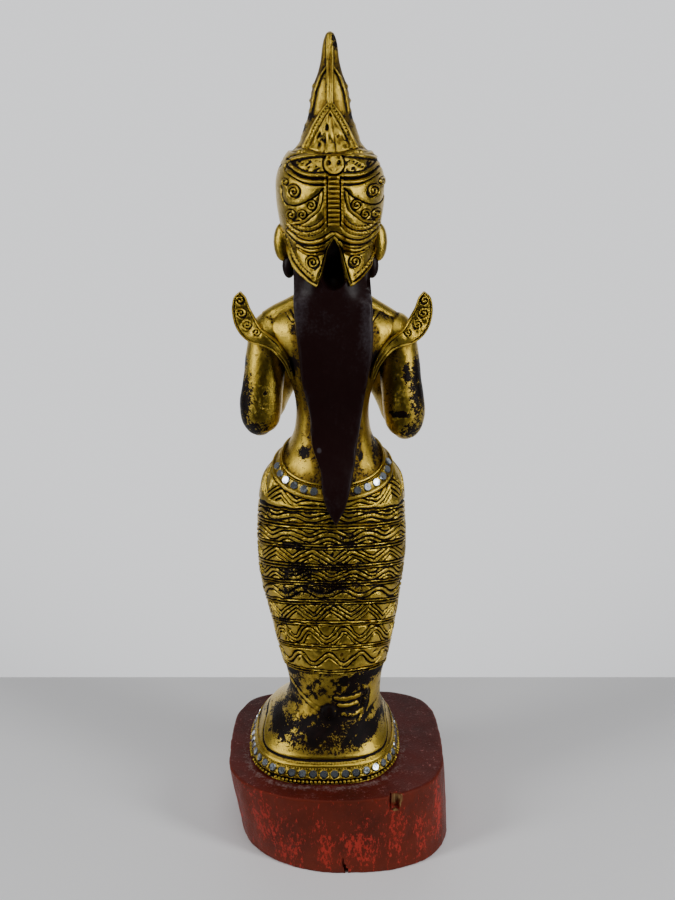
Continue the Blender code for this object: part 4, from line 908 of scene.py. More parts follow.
def make_hair():
    """Flat fall of hair from under the cap to a point on the sarong."""
    height = np.concatenate((np.arange(229.4, 424.0, 1.6), (424.0,)))[:, None]
    half, x, face = [read(HAIR, height, column) for column in (1, 2, 3)]
    middle = np.linspace(-0.965, 0.965, 34)
    share = np.concatenate(([-1.0, -1.0, -1.0], middle, [1.0, 1.0, 1.0]))[None, :]
    turned_in = [HAIR_THICKNESS, 6.0, 2.4]
    depth = np.concatenate((turned_in, np.zeros(len(middle)), turned_in[::-1]))[None, :]
    soft = np.minimum(half, 1.6) * np.clip((np.abs(share) - 0.9) / 0.1, 0.0, 1.0)
    points = bundle(x + share * half, face - depth - 1.1 * share ** 2 - 0.25 * soft, height)
    hang = CAP_THICKNESS + CAP_FLARE * (CAP_HANG - height) - HAIR_UNDER_CAP
    wide, deep = read(HEAD, CAP_HANG, 1) + hang, read(HEAD, CAP_HANG, 2) + hang
    across = (points[..., 0] - HEAD_X) / wide
    round_cap = read(HEAD, CAP_HANG, 3) + deep * np.sqrt(np.clip(1.0 - across ** 2, 0.0, 1.0))
    tuck = np.maximum(points[..., 1] - round_cap + 0.5 * depth, 0.0) * step(height, 400.0, 411.0)
    points[..., 1] -= np.minimum(tuck, np.maximum(points[..., 1] - face + HAIR_THICKNESS - 0.5, 0.0))
    uneven = 0.22 * ripple(points, 11.0, 31) + 0.10 * ripple(points, 4.0, 32)
    points[..., 1] += uneven * (depth < 1.0) * step(half, 2.0, 8.0)
    return skin(points, HAIR_LACQUER)


def tube(points, rings, sides, hand):
    """Round form along a path of offset, stand, height and radius."""
    low = min(row[2] for row in points)
    high = max(row[2] for row in points)
    drop = RIGHT_ELBOW_DROP if hand < 0.0 else 0.0
    table = [(float(index), hand * x, y, height - drop * (high - height) / (high - low), radius)
             for index, (x, y, height, radius) in enumerate(points)]
    at = np.linspace(0.0, len(points) - 1.0, rings)
    centres = np.stack([read(table, at, column) for column in (1, 2, 3)], axis=-1)
    radii = read(table, at, 4)
    loops = []
    side = np.array((0.0, 1.0, 0.0))
    turn = np.linspace(0.0, 2.0 * math.pi, sides, endpoint=False)[:, None]
    for index in range(rings):
        along = centres[min(index + 1, rings - 1)] - centres[max(index - 1, 0)]
        along = along / np.linalg.norm(along)
        side = side - along * float(side @ along)
        side = side / np.linalg.norm(side)
        over = np.cross(along, side)
        loops.append(centres[index] + radii[index] * (side * np.cos(turn) + over * np.sin(turn)))
    loops = np.array(loops)
    loops += 0.25 * ripple(loops, 22.0, 41)[..., None] * (loops - centres[:, None]) / 14.0
    return skin(loops)


def make_hand(side):
    """One of two flat hands held palm to palm, with the fingers parted by fine grooves."""
    height = np.concatenate((np.arange(342.0, 401.0, 1.2), (401.0,)))[:, None]
    angle = np.linspace(0.0, 2.0 * math.pi, 56, endpoint=False)[None, :]
    wide, deep, y = read(HAND, height, 1), read(HAND, height, 2), read(HAND, height, 3)
    off = np.cos(angle)
    grooves = sum(np.exp(-((off - at) / 0.09) ** 2) for at in (-0.5, 0.0, 0.5))
    stand = -0.9 * grooves * step(height, 366.0, 372.0) * (1.0 - step(height, 396.0, 401.0))
    thumb = 2.6 * np.exp(-(((off - 0.75) / 0.28) ** 2) - ((height - 366.0) / 9.0) ** 2)
    wide = wide + (stand + thumb) * (side * np.sin(angle) > 0.0)
    points = bundle(side * HAND_SPREAD + wide * np.sin(angle), y + deep * np.cos(angle), height)
    # The finger grooves get cut values: painted shade and dirt in them.
    return skin(points, GILT, (-0.3 - stand) / 0.6)


def make_wing(side):
    """Shoulder piece that curls up to a tip, with a row of spirals, and runs down the armhole."""
    table = [(float(index),) + row for index, row in enumerate(WING)]
    at = np.linspace(0.0, len(WING) - 1.0, 110)
    x, height, half, stand = [read(table, at, column) for column in (1, 2, 3, 4)]
    half = np.maximum(half, 0.6)
    way = np.stack((np.gradient(x), np.gradient(height)), axis=-1)
    way /= np.linalg.norm(way, axis=-1, keepdims=True)
    turn = np.linspace(0.0, 2.0 * math.pi, 44, endpoint=False)
    share = np.cos(turn)
    depth = np.sign(np.sin(turn)) * np.abs(np.sin(turn)) ** 0.55
    px = x[:, None] + way[:, 1:] * (half[:, None] * share[None, :])
    ph = height[:, None] - way[:, :1] * (half[:, None] * share[None, :])
    flat = np.stack((px, ph), axis=-1)
    relief = np.zeros(px.shape)
    for spiral in WING_SPIRALS:
        relief += carve_spiral(flat, *spiral, 1.0)
    away = (1.0 - np.abs(share[None, :])) * half[:, None]
    relief = relief * step(away, 1.4, 2.4) * step(half[:, None], 2.5, 4.5)
    relief += 0.8 * rib(away, 0.2, 1.6) - 0.7 * rib(away, 1.6, 2.6)
    relief += 0.7 * rib(np.abs(share[None, :] * half[:, None]), -1.2, 1.2) * step(at[None, :].T, 7.0, 8.0)
    shown = (depth[None, :] > 0.2) * 1.0
    y = stand[:, None] + 0.5 * WING_THICKNESS * depth[None, :] + relief * shown * 0.8
    points = bundle(side * px, y, ph)
    # Grooves on the shown face of the wing get cut values: painted shade and dirt in them.
    return skin(points, GILT, np.where(shown > 0.5, (-0.45 - relief) / 0.6, 0.0))


def make_bead(x, y, height, wide, deep, tall, finish=GILT):
    """Rounded lump, such as an ear or an ear plug."""
    rise = np.linspace(0.06, math.pi - 0.06, 18)[:, None]
    angle = np.linspace(0.0, 2.0 * math.pi, 28, endpoint=False)[None, :]
    ring = np.sin(rise)
    points = bundle(x + wide * ring * np.sin(angle), y + deep * ring * np.cos(angle),
                    height - tall * np.cos(rise))
    return skin(points, finish)


def pair(make, *sizes):
    """The same form on the left and on the right."""
    return [make(*sizes, side) for side in (1.0, -1.0)]


def thin(item, most):
    """Collapse the least needed edges until the mesh has no more triangles than asked."""
    mesh = item.data
    count = sum(len(face.vertices) - 2 for face in mesh.polygons)
    modifier = item.modifiers.new("thin", "DECIMATE")
    modifier.ratio = min(1.0, most / count)
    modifier.use_collapse_triangulate = True
    bake_modifiers(item)
    item.data.validate()
    close_gaps(item)


def close_gaps(item):
    """Close the few gaps that thinning leaves, so that each edge has two faces."""
    mesh = bmesh.new()
    mesh.from_mesh(item.data)
    for _ in range(5):
        crowded = [face for face in mesh.faces if any(len(edge.link_faces) > 2 for edge in face.edges)]
        bmesh.ops.delete(mesh, geom=crowded, context="FACES")
        gaps = [edge for edge in mesh.edges if len(edge.link_faces) == 1]
        if not gaps:
            break
        made = bmesh.ops.holes_fill(mesh, edges=gaps, sides=0)
        bmesh.ops.triangulate(mesh, faces=made["faces"])
    bmesh.ops.delete(mesh, geom=[edge for edge in mesh.edges if not edge.link_faces], context="EDGES")
    mesh.to_mesh(item.data)
    mesh.free()


def save_values(item, name, values):
    """Store one number for each point of a mesh, for its material to read."""
    mesh = item.data
    layer = mesh.attributes.get(name) or mesh.attributes.new(name, "FLOAT", "POINT")
    layer.data.foreach_set("value", np.asarray(values, dtype=np.float32))


def mesh_points(item):
    """Points and outward directions of a mesh, in millimetres from the middle of the hem."""
    mesh = item.data
    points = np.empty(3 * len(mesh.vertices), dtype=np.float32)
    mesh.vertices.foreach_get("co", points)
    normals = np.empty(3 * len(mesh.vertices), dtype=np.float32)
    mesh.vertices.foreach_get("normal", normals)
    points = points.reshape(-1, 3) / MILLIMETRE - (FIGURE_X, 0.0, FIGURE_FOOT)
    return points, normals.reshape(-1, 3)


def hollows(item, rounds):
    """How far each point lies under or over the points round it, in millimetres."""
    points, normals = mesh_points(item)
    mesh = item.data
    edges = np.empty(2 * len(mesh.edges), dtype=np.int64)
    mesh.edges.foreach_get("vertices", edges)
    edges = edges.reshape(-1, 2)
    count = np.bincount(edges.ravel(), minlength=len(points))[:, None]
    soft = points.copy()
    for _ in range(rounds):
        total = np.zeros_like(soft)
        for axis in range(3):
            total[:, axis] = (np.bincount(edges[:, 0], soft[edges[:, 1], axis], len(points))
                              + np.bincount(edges[:, 1], soft[edges[:, 0], axis], len(points)))
        soft = total / np.maximum(count, 1)
    return np.sum((soft - points) * normals, axis=-1)


def figure_wear(item):
    """Store where the gilding is dark in the cuts and hollows, as dirt and painted shade, worn clean on the edges
    by rubbing, and worn in places.
    """
    points, normals = mesh_points(item)
    depth = hollows(item, 4)
    # hollow lets the gilding paint creases darker: dirt and painted shade; edge lets it keep raised edges clean.
    save_values(item, "hollow", np.clip(depth / 0.45, 0.0, 1.0))
    save_values(item, "edge", np.clip(-depth / 0.5, 0.0, 1.0))
    worn = np.zeros(len(points))
    back = step(points[:, 1], -12.0, 2.0)
    for x, height, wide, tall, strength in WORN:
        reach = np.hypot((points[:, 0] - x) / wide, (points[:, 2] - height) / tall)
        worn = np.maximum(worn, strength * (1.0 - step(reach, 0.5, 1.35)) * back)
    front = 1.0 - back
    low = 1.0 - step(points[:, 2], 60.0, 90.0)
    worn = np.maximum(worn, front * low * 0.6 * step(ripple(points, 50.0, 51), -0.2, 0.8))
    worn = np.maximum(worn, front * 0.5 * step(ripple(points, 40.0, 52), 0.3, 1.0))
    save_values(item, "worn", np.clip(worn, 0.0, 1.3))


def make_figure():
    """Unite the forms into the one carved piece of wood, with all of its relief."""
    figure = make_object("carved_figure", [make_body()])
    hair = make_object("hair", [make_hair()])
    carve(hair, make_object("tool", [make_bead(*HAIR_HOLLOW, HAIR_LACQUER)]), "DIFFERENCE")
    carve(figure, hair, "UNION")
    x, y, height, wide, deep, tall = EAR
    ears = [make_bead(HEAD_X + side * x, y, height, wide, deep, tall) for side in (1.0, -1.0)]
    x, y, height, wide, deep, tall = EAR_PLUG
    plugs = [make_bead(HEAD_X + side * x, y, height, wide, deep, tall, HAIR_LACQUER) for side in (1.0, -1.0)]
    arms = [[tube(UPPER_ARM, 60, 44, side) for side in (1.0, -1.0)],
            [tube(FOREARM, 44, 36, side) for side in (1.0, -1.0)]]
    slopes = [tube(SHOULDER, 24, 32, side) for side in (1.0, -1.0)]
    single = [[form] for form in (make_belt(), make_head(), make_crown(), make_cap())]
    hands = [[make_hand(1.0)], [make_hand(-1.0)]]
    for forms in single + arms + [slopes[:1], slopes[1:]] + hands + [pair(make_wing), ears, plugs]:
        carve(figure, make_object("tool", forms), "UNION")
    return figure


def plinth_point(share, angle, inset):
    """Points of the block's uneven outline at a share of its height, in metres."""
    wide = PLINTH_FOOT[0] + (PLINTH_TOP[0] - PLINTH_FOOT[0]) * share
    deep = PLINTH_FOOT[1] + (PLINTH_TOP[1] - PLINTH_FOOT[1]) * share
    x = PLINTH_FOOT[2] + (PLINTH_TOP[2] - PLINTH_FOOT[2]) * share
    c, s = np.cos(angle), np.sin(angle)
    power = PLINTH_SQUARENESS - PLINTH_ROUND_BACK * s - PLINTH_ROUND_SIDE * c * (1.0 - share)
    reach = (np.abs(c) ** power + np.abs(s) ** power) ** (-1.0 / power)
    reach = reach * (1.0 - PLINTH_UNEVEN * np.sin(2.0 * angle) ** 2 * np.sin(3.0 * angle + 4.0 * share))
    return bundle(x + (0.5 * wide - inset) * reach * c, (0.5 * deep - inset) * reach * s, share * PLINTH_HEIGHT)


def make_plinth():
    """Block of wood with tool marks and soft worn edges, ready for its chips and its drying crack."""
    angle = np.radians(np.arange(0.0, 360.0, 1.25))[None, :]
    foot, top = (0.0, 0.006, 0.014, 0.024), (0.976, 0.986, 0.994, 1.0)
    share = np.concatenate((foot, np.linspace(0.045, 0.955, 40), top))[:, None]
    edge = np.minimum(share, 1.0 - share) * PLINTH_HEIGHT
    in_edge = np.clip(edge / PLINTH_EDGE, 0.0, 1.0)
    inset = PLINTH_EDGE * (1.0 - np.sqrt(np.clip(1.0 - (1.0 - in_edge) ** 2, 0.0, 1.0)))
    points = plinth_point(share, angle, inset) / MILLIMETRE
    marks = (0.35 * ripple(points * (1.0, 1.0, 0.35), 26.0, 61)
             + 0.16 * ripple(points * (1.0, 1.0, 0.3), 7.0, 62))
    points = plinth_point(share, angle, inset + MILLIMETRE * (0.45 + np.clip(marks, -0.45, 1.2))) / MILLIMETRE
    rings = []
    for reach in np.linspace(0.98, 0.06, 34):
        ring = points[-1] * (reach, reach, 1.0) + (PLINTH_TOP[2] / MILLIMETRE * (1.0 - reach), 0.0, 0.0)
        ring[:, 2] += -0.10 + 0.10 * ripple(ring, 24.0, 63)
        rings.append(ring)
    rows = np.concatenate((points, np.array(rings)), axis=0) - (FIGURE_X, 0.0, FIGURE_FOOT)
    rows[..., 2] = np.minimum(rows[..., 2], PLINTH_HEIGHT / MILLIMETRE - FIGURE_FOOT)
    return make_object("lacquered_block", [skin(rows)])


def lump(x, y, z, wide, deep, tall, seed, rough):
    """Uneven lump, in millimetres on the floor, that cuts a chip out of the block."""
    rise = np.linspace(0.05, math.pi - 0.05, 16)[:, None]
    angle = np.linspace(0.0, 2.0 * math.pi, 24, endpoint=False)[None, :]
    square = 2.6
    sx, cx = np.sin(angle), np.cos(angle)
    flat = (np.abs(sx) ** square + np.abs(cx) ** square) ** (-1.0 / square)
    ring = np.sin(rise) ** 0.5
    points = bundle(wide * ring * flat * sx, deep * ring * flat * cx, -tall * np.cos(rise))
    points *= (1.0 + rough * ripple(points, 7.0, seed))[..., None]
    return skin(points + (x - FIGURE_X, y, z - FIGURE_FOOT))


def break_plinth(block):
    """Cut the chips, the small hole and the drying crack."""
    for lost in CHIPS:
        carve(block, make_object("tool", [lump(*lost)]), "DIFFERENCE")
    for x, height, wide, seed in CRACK:
        carve(block, make_object("tool", [lump(x, 84.0, height, wide, 8.0, 4.6, seed, 0.12)]), "DIFFERENCE")


def plinth_wear(item):
    """Store where the block's lacquer is scuffed to vermilion, dusty or broken to bare wood."""
    points, normals = mesh_points(item)
    spots = points + (FIGURE_X, 0.0, FIGURE_FOOT)
    turn = np.degrees(np.arctan2(spots[:, 1], spots[:, 0])) % 360.0
    scuff = np.zeros(len(spots))
    for angle, height, wide, tall, strength in SCUFFS:
        off = (turn - angle + 180.0) % 360.0 - 180.0
        reach = (off / wide) ** 2 + ((spots[:, 2] - height) / tall) ** 2
        scuff = np.maximum(scuff, strength * np.exp(-reach * 0.7))
    top = step(normals[:, 2], 0.75, 0.95)
    save_values(item, "scuff", scuff * (1.0 - top))
    low = BODY[1]
    off = np.stack((points[:, 0] - low[3], points[:, 1] - low[4]), axis=-1)
    turn = np.arctan2(off[:, 0], off[:, 1])
    hem = np.linalg.norm(off, axis=-1) - low[1] * corner_reach(turn, low[0])
    dust = rib(hem, 1.5, 8.5) * top * step(points[:, 1], -40.0, 30.0)
    save_values(item, "dust", dust)
    chip = np.linalg.norm((spots - CHIP_MIDDLE) / CHIP_REACH, axis=-1)
    bare = (1.0 - step(chip, 0.98, 1.06)) * step(-spots[:, 0], 43.6, 44.4)
    save_values(item, "bare", bare * (spots[:, 2] < 69.6))
    save_values(item, "top", top)


def hem_path(height, stand):
    """Closed line of points round the body at a height, even by length."""
    turn, length = outline_lengths(height)
    angle = np.interp(np.linspace(length[0], length[-1], 361)[:-1], length, turn)
    return body_point(angle, np.full_like(angle, height), stand)


def crown_border_path():
    """Line of points along the edge of the crown's low leaf, over its tip."""
    height = np.concatenate((np.linspace(508.0, 541.0, 40), np.linspace(541.0, 508.0, 40)[1:]))
    sign = np.concatenate((np.ones(40), -np.ones(39)))
    half = straight(LOW_LEAF, height)
    radius = read(CROWN, height) + 1.0
    angle = sign * np.arcsin(np.clip(half / radius, 0.0, 0.95))
    return bundle(HEAD_X + radius * np.sin(angle), CROWN_Y + radius * np.cos(angle), height)


def make_curve(name, points, closed):
    """Make a curve object through points."""
    curve = bpy.data.curves.new(name, "CURVE")
    curve.dimensions = "3D"
    spline = curve.splines.new("POLY")
    spline.points.add(len(points) - 1)
    spots = (points + (FIGURE_X, 0.0, FIGURE_FOOT)) * MILLIMETRE
    spline.points.foreach_set("co", np.hstack((spots, np.ones((len(spots), 1)))).ravel())
    spline.use_cyclic_u = closed
    item = bpy.data.objects.new(name, curve)
    bpy.context.scene.collection.objects.link(item)
    return item


def new_tree(name, inputs):
    """Start a Geometry Nodes tree with named inputs and return it with its ends."""
    tree = bpy.data.node_groups.new(name, "GeometryNodeTree")
    tree.interface.new_socket("Geometry", in_out="INPUT", socket_type="NodeSocketGeometry")
    for label, kind, value in inputs:
        socket = tree.interface.new_socket(label, in_out="INPUT", socket_type=kind)
        socket.default_value = value
    tree.interface.new_socket("Geometry", in_out="OUTPUT", socket_type="NodeSocketGeometry")
    return tree, tree.nodes.new("NodeGroupInput"), tree.nodes.new("NodeGroupOutput")


def bead_row_tree():
    """Beads set along a curve at even steps, a few of them missing."""
    tree, given, made = new_tree("Bead row", (
        ("Beads", "NodeSocketInt", 120), ("Bead size", "NodeSocketFloat", 0.0011),
        ("Unevenness", "NodeSocketFloat", 0.15), ("Missing share", "NodeSocketFloat", 0.0),
        ("Roundness", "NodeSocketInt", 2), ("Seed", "NodeSocketInt", 1)))
    nodes, links = tree.nodes, tree.links
    spaced = nodes.new("GeometryNodeResampleCurve")
    links.new(given.outputs["Geometry"], spaced.inputs["Curve"])
    links.new(given.outputs["Beads"], spaced.inputs["Count"])
    points = nodes.new("GeometryNodeCurveToPoints")
    points.mode = "EVALUATED"
    links.new(spaced.outputs["Curve"], points.inputs["Curve"])
    lost = nodes.new("FunctionNodeRandomValue")
    lost.data_type = "BOOLEAN"
    links.new(given.outputs["Missing share"], lost.inputs["Probability"])
    links.new(given.outputs["Seed"], lost.inputs["Seed"])
    kept = nodes.new("GeometryNodeDeleteGeometry")
    links.new(points.outputs["Points"], kept.inputs["Geometry"])
    links.new(lost.outputs[3], kept.inputs["Selection"])
    ball = nodes.new("GeometryNodeMeshIcoSphere")
    links.new(given.outputs["Bead size"], ball.inputs["Radius"])
    links.new(given.outputs["Roundness"], ball.inputs["Subdivisions"])
    small = nodes.new("ShaderNodeMath")
    small.operation = "SUBTRACT"
    small.inputs[0].default_value = 1.0
    links.new(given.outputs["Unevenness"], small.inputs[1])
    size = nodes.new("FunctionNodeRandomValue")
    size.data_type = "FLOAT"
    links.new(small.outputs[0], size.inputs[2])
    size.inputs[3].default_value = 1.0
    links.new(given.outputs["Seed"], size.inputs["Seed"])
    put = nodes.new("GeometryNodeInstanceOnPoints")
    links.new(kept.outputs["Geometry"], put.inputs["Points"])
    links.new(ball.outputs["Mesh"], put.inputs["Instance"])
    links.new(size.outputs[1], put.inputs["Scale"])
    real = nodes.new("GeometryNodeRealizeInstances")
    links.new(put.outputs["Instances"], real.inputs["Geometry"])
    coat = nodes.new("GeometryNodeSetMaterial")
    coat.inputs["Material"].default_value = bpy.data.materials["gilt"]
    links.new(real.outputs["Geometry"], coat.inputs["Geometry"])
    links.new(coat.outputs["Geometry"], made.inputs["Geometry"])
    return tree


def glass_tree(material):
    """Cut glass set on points, each piece turned out from the wood and tilted a little."""
    tree, given, made = new_tree("Cut glass", (
        ("Glass size", "NodeSocketFloat", 0.0026), ("Glass thickness", "NodeSocketFloat", 0.0011),
        ("Sides", "NodeSocketInt", 9), ("Tilt", "NodeSocketFloat", 0.13), ("Seed", "NodeSocketInt", 5)))
    nodes, links = tree.nodes, tree.links
    points = nodes.new("GeometryNodeMeshToPoints")
    links.new(given.outputs["Geometry"], points.inputs["Mesh"])
    piece = nodes.new("GeometryNodeMeshCone")
    links.new(given.outputs["Sides"], piece.inputs["Vertices"])
    links.new(given.outputs["Glass size"], piece.inputs["Radius Bottom"])
    bevel = nodes.new("ShaderNodeMath")
    bevel.operation = "MULTIPLY"
    bevel.inputs[1].default_value = 0.84
    links.new(given.outputs["Glass size"], bevel.inputs[0])
    links.new(bevel.outputs[0], piece.inputs["Radius Top"])
    links.new(given.outputs["Glass thickness"], piece.inputs["Depth"])
    facing = nodes.new("GeometryNodeInputNamedAttribute")
    facing.data_type = "FLOAT_VECTOR"
    facing.inputs["Name"].default_value = "outward"
    turn = nodes.new("FunctionNodeAlignRotationToVector")
    turn.axis = "Z"
    links.new(facing.outputs["Attribute"], turn.inputs["Vector"])
    low = nodes.new("ShaderNodeMath")
    low.operation = "MULTIPLY"
    low.inputs[1].default_value = -1.0
    links.new(given.outputs["Tilt"], low.inputs[0])
    tilt = nodes.new("FunctionNodeRandomValue")
    tilt.data_type = "FLOAT_VECTOR"
    links.new(low.outputs[0], tilt.inputs[0])
    links.new(given.outputs["Tilt"], tilt.inputs[1])
    links.new(given.outputs["Seed"], tilt.inputs["Seed"])
    lean = nodes.new("FunctionNodeEulerToRotation")
    links.new(tilt.outputs[0], lean.inputs["Euler"])
    both = nodes.new("FunctionNodeRotateRotation")
    both.rotation_space = "LOCAL"
    links.new(turn.outputs["Rotation"], both.inputs["Rotation"])
    links.new(lean.outputs["Rotation"], both.inputs["Rotate By"])
    put = nodes.new("GeometryNodeInstanceOnPoints")
    links.new(points.outputs["Points"], put.inputs["Points"])
    links.new(piece.outputs["Mesh"], put.inputs["Instance"])
    links.new(both.outputs["Rotation"], put.inputs["Rotation"])
    real = nodes.new("GeometryNodeRealizeInstances")
    links.new(put.outputs["Instances"], real.inputs["Geometry"])
    coat = nodes.new("GeometryNodeSetMaterial")
    coat.inputs["Material"].default_value = material
    links.new(real.outputs["Geometry"], coat.inputs["Geometry"])
    links.new(coat.outputs["Geometry"], made.inputs["Geometry"])
    return tree


def grow(item, tree, sizes):
    """Run a tree on an object with its sizes given by name, and keep the plain mesh."""
    modifier = item.modifiers.new(tree.name, "NODES")
    modifier.node_group = tree
    for socket in tree.interface.items_tree:
        if socket.item_type == "SOCKET" and socket.name in sizes:
            modifier[socket.identifier] = sizes[socket.name]
    view = bpy.context.evaluated_depsgraph_get()
    mesh = bpy.data.meshes.new_from_object(item.evaluated_get(view), depsgraph=view)
    made = bpy.data.objects.new(item.name + "_made", mesh)
    bpy.context.scene.collection.objects.link(made)
    bpy.data.objects.remove(item, do_unlink=True)
    return made


def make_beads(figure):
    """Set the rows of beads on the hem and the crown and unite them with the figure."""
    tree = bead_row_tree()
    rows = (
        ("hem_foot_beads", hem_path(2.7, 0.5), True, 124, 1.45, 0.06, 2, 11),
        ("hem_low_beads", hem_path(12.9, 0.4), True, 176, 0.95, 0.03, 1, 12),
        ("hem_high_beads", hem_path(17.0, 0.4), True, 164, 0.90, 0.03, 1, 13),
        ("crown_leaf_beads", crown_border_path(), False, 36, 0.85, 0.0, 1, 14),
    )
    for name, path, closed, beads, size, missing, roundness, seed in rows:
        made = grow(make_curve(name, path, closed), tree, {
            "Beads": beads, "Bead size": size * MILLIMETRE, "Unevenness": 0.22, "Missing share": missing,
            "Roundness": roundness, "Seed": seed})
        carve(figure, made, "UNION")


def glass_seats():
    """Middle of each CAD piece of glass and the way it faces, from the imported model."""
    seats, ways, names = [], [], []
    for item in bpy.data.objects:
        if item.type == "MESH" and "_glass_" in item.name:
            corners = np.array([tuple(item.matrix_world @ v.co) for v in item.data.vertices])
            middle = corners.mean(axis=0)
            spread = corners - middle
            _, _, axes = np.linalg.svd(spread, full_matrices=False)
            out = axes[2]
            away = middle - (FIGURE_X * MILLIMETRE, 0.0, middle[2])
            out = out * (1.0 if float(out @ away) >= 0.0 else -1.0)
            seats.append(middle)
            ways.append(out)
            names.append(item.name)
    return np.array(seats), np.array(ways), names


def make_glass(material):
    """Every piece of cut mirror glass, in place of the plain ones."""
    seats, ways, names = glass_seats()
    mesh = bpy.data.meshes.new("glass_seats")
    mesh.from_pydata((seats - 0.0006 * ways).tolist(), [], [])
    mesh.attributes.new("outward", "FLOAT_VECTOR", "POINT").data.foreach_set("vector", ways.ravel())
    item = bpy.data.objects.new("glass_seats", mesh)
    bpy.context.scene.collection.objects.link(item)
    made = grow(item, glass_tree(material), {"Glass size": 0.0034, "Glass thickness": 0.0012})
    made.name = "cut_mirror_glass"
    return made, names


def shader(material):
    """Clear a material and return its nodes, its links and its Principled shader."""
    material.use_nodes = True
    nodes, links = material.node_tree.nodes, material.node_tree.links
    nodes.clear()
    out = nodes.new("ShaderNodeOutputMaterial")
    surface = nodes.new("ShaderNodeBsdfPrincipled")
    links.new(surface.outputs["BSDF"], out.inputs["Surface"])
    return nodes, links, surface


def noise(nodes, links, where, scale, detail=4.0, rough=0.6):
    """Noise at a scale, in object coordinates, as a value round one half."""
    texture = nodes.new("ShaderNodeTexNoise")
    texture.inputs["Scale"].default_value = scale
    texture.inputs["Detail"].default_value = detail
    texture.inputs["Roughness"].default_value = rough
    links.new(where, texture.inputs["Vector"])
    return texture.outputs["Fac"]


def sums(nodes, links, terms, start=0.0):
    """Add up values, each times its weight, from a starting value."""
    total = None
    for value, weight in terms:
        node = nodes.new("ShaderNodeMath")
        node.operation = "MULTIPLY_ADD"
        links.new(value, node.inputs[0])
        node.inputs[1].default_value = weight
        if total is None:
            node.inputs[2].default_value = start
        else:
            links.new(total, node.inputs[2])
        total = node.outputs[0]
    return total


def ramp(nodes, links, value, low, high, start=0.0, end=1.0):
    """Spread a value between two limits, with soft ends."""
    node = nodes.new("ShaderNodeMapRange")
    node.interpolation_type = "SMOOTHSTEP"
    links.new(value, node.inputs["Value"])
    node.inputs["From Min"].default_value = low
    node.inputs["From Max"].default_value = high
    node.inputs["To Min"].default_value = start
    node.inputs["To Max"].default_value = end
    return node.outputs["Result"]


def mix(nodes, links, share, first, second):
    """Mix two colours, each a colour or an output, by a share."""
    node = nodes.new("ShaderNodeMix")
    node.data_type = "RGBA"
    links.new(share, node.inputs["Factor"])
    for colour, socket in ((first, node.inputs[6]), (second, node.inputs[7])):
        if isinstance(colour, tuple):
            socket.default_value = colour + (1.0,)
        else:
            links.new(colour, socket)
    return node.outputs[2]


def stored(nodes, name):
    """Read a value stored on the mesh."""
    node = nodes.new("ShaderNodeAttribute")
    node.attribute_name = name
    return node.outputs["Fac"]


def soft_ovals(nodes, links, where, rows):
    """Strongest of some soft-edged marks, each an oval in space."""
    most = None
    for x, y, height, wide, deep, tall, strength in rows:
        oval = nodes.new("ShaderNodeMapping")
        oval.vector_type = "TEXTURE"
        middle = (x + FIGURE_X, y, height + FIGURE_FOOT)
        oval.inputs["Location"].default_value = [MILLIMETRE * value for value in middle]
        oval.inputs["Scale"].default_value = [MILLIMETRE * value for value in (wide, deep, tall)]
        links.new(where, oval.inputs["Vector"])
        reach = nodes.new("ShaderNodeVectorMath")
        reach.operation = "LENGTH"
        links.new(oval.outputs["Vector"], reach.inputs[0])
        near = ramp(nodes, links, reach.outputs["Value"], 0.30, 1.45, strength, 0.0)
        if most is None:
            most = near
            continue
        more = nodes.new("ShaderNodeMath")
        more.operation = "MAXIMUM"
        links.new(most, more.inputs[0])
        links.new(near, more.inputs[1])
        most = more.outputs[0]
    return most


def add_bump(nodes, links, surface, height, distance, strength):
    """Give a surface a fine relief."""
    node = nodes.new("ShaderNodeBump")
    node.inputs["Distance"].default_value = distance
    node.inputs["Strength"].default_value = strength
    links.new(height, node.inputs["Height"])
    links.new(node.outputs["Normal"], surface.inputs["Normal"])


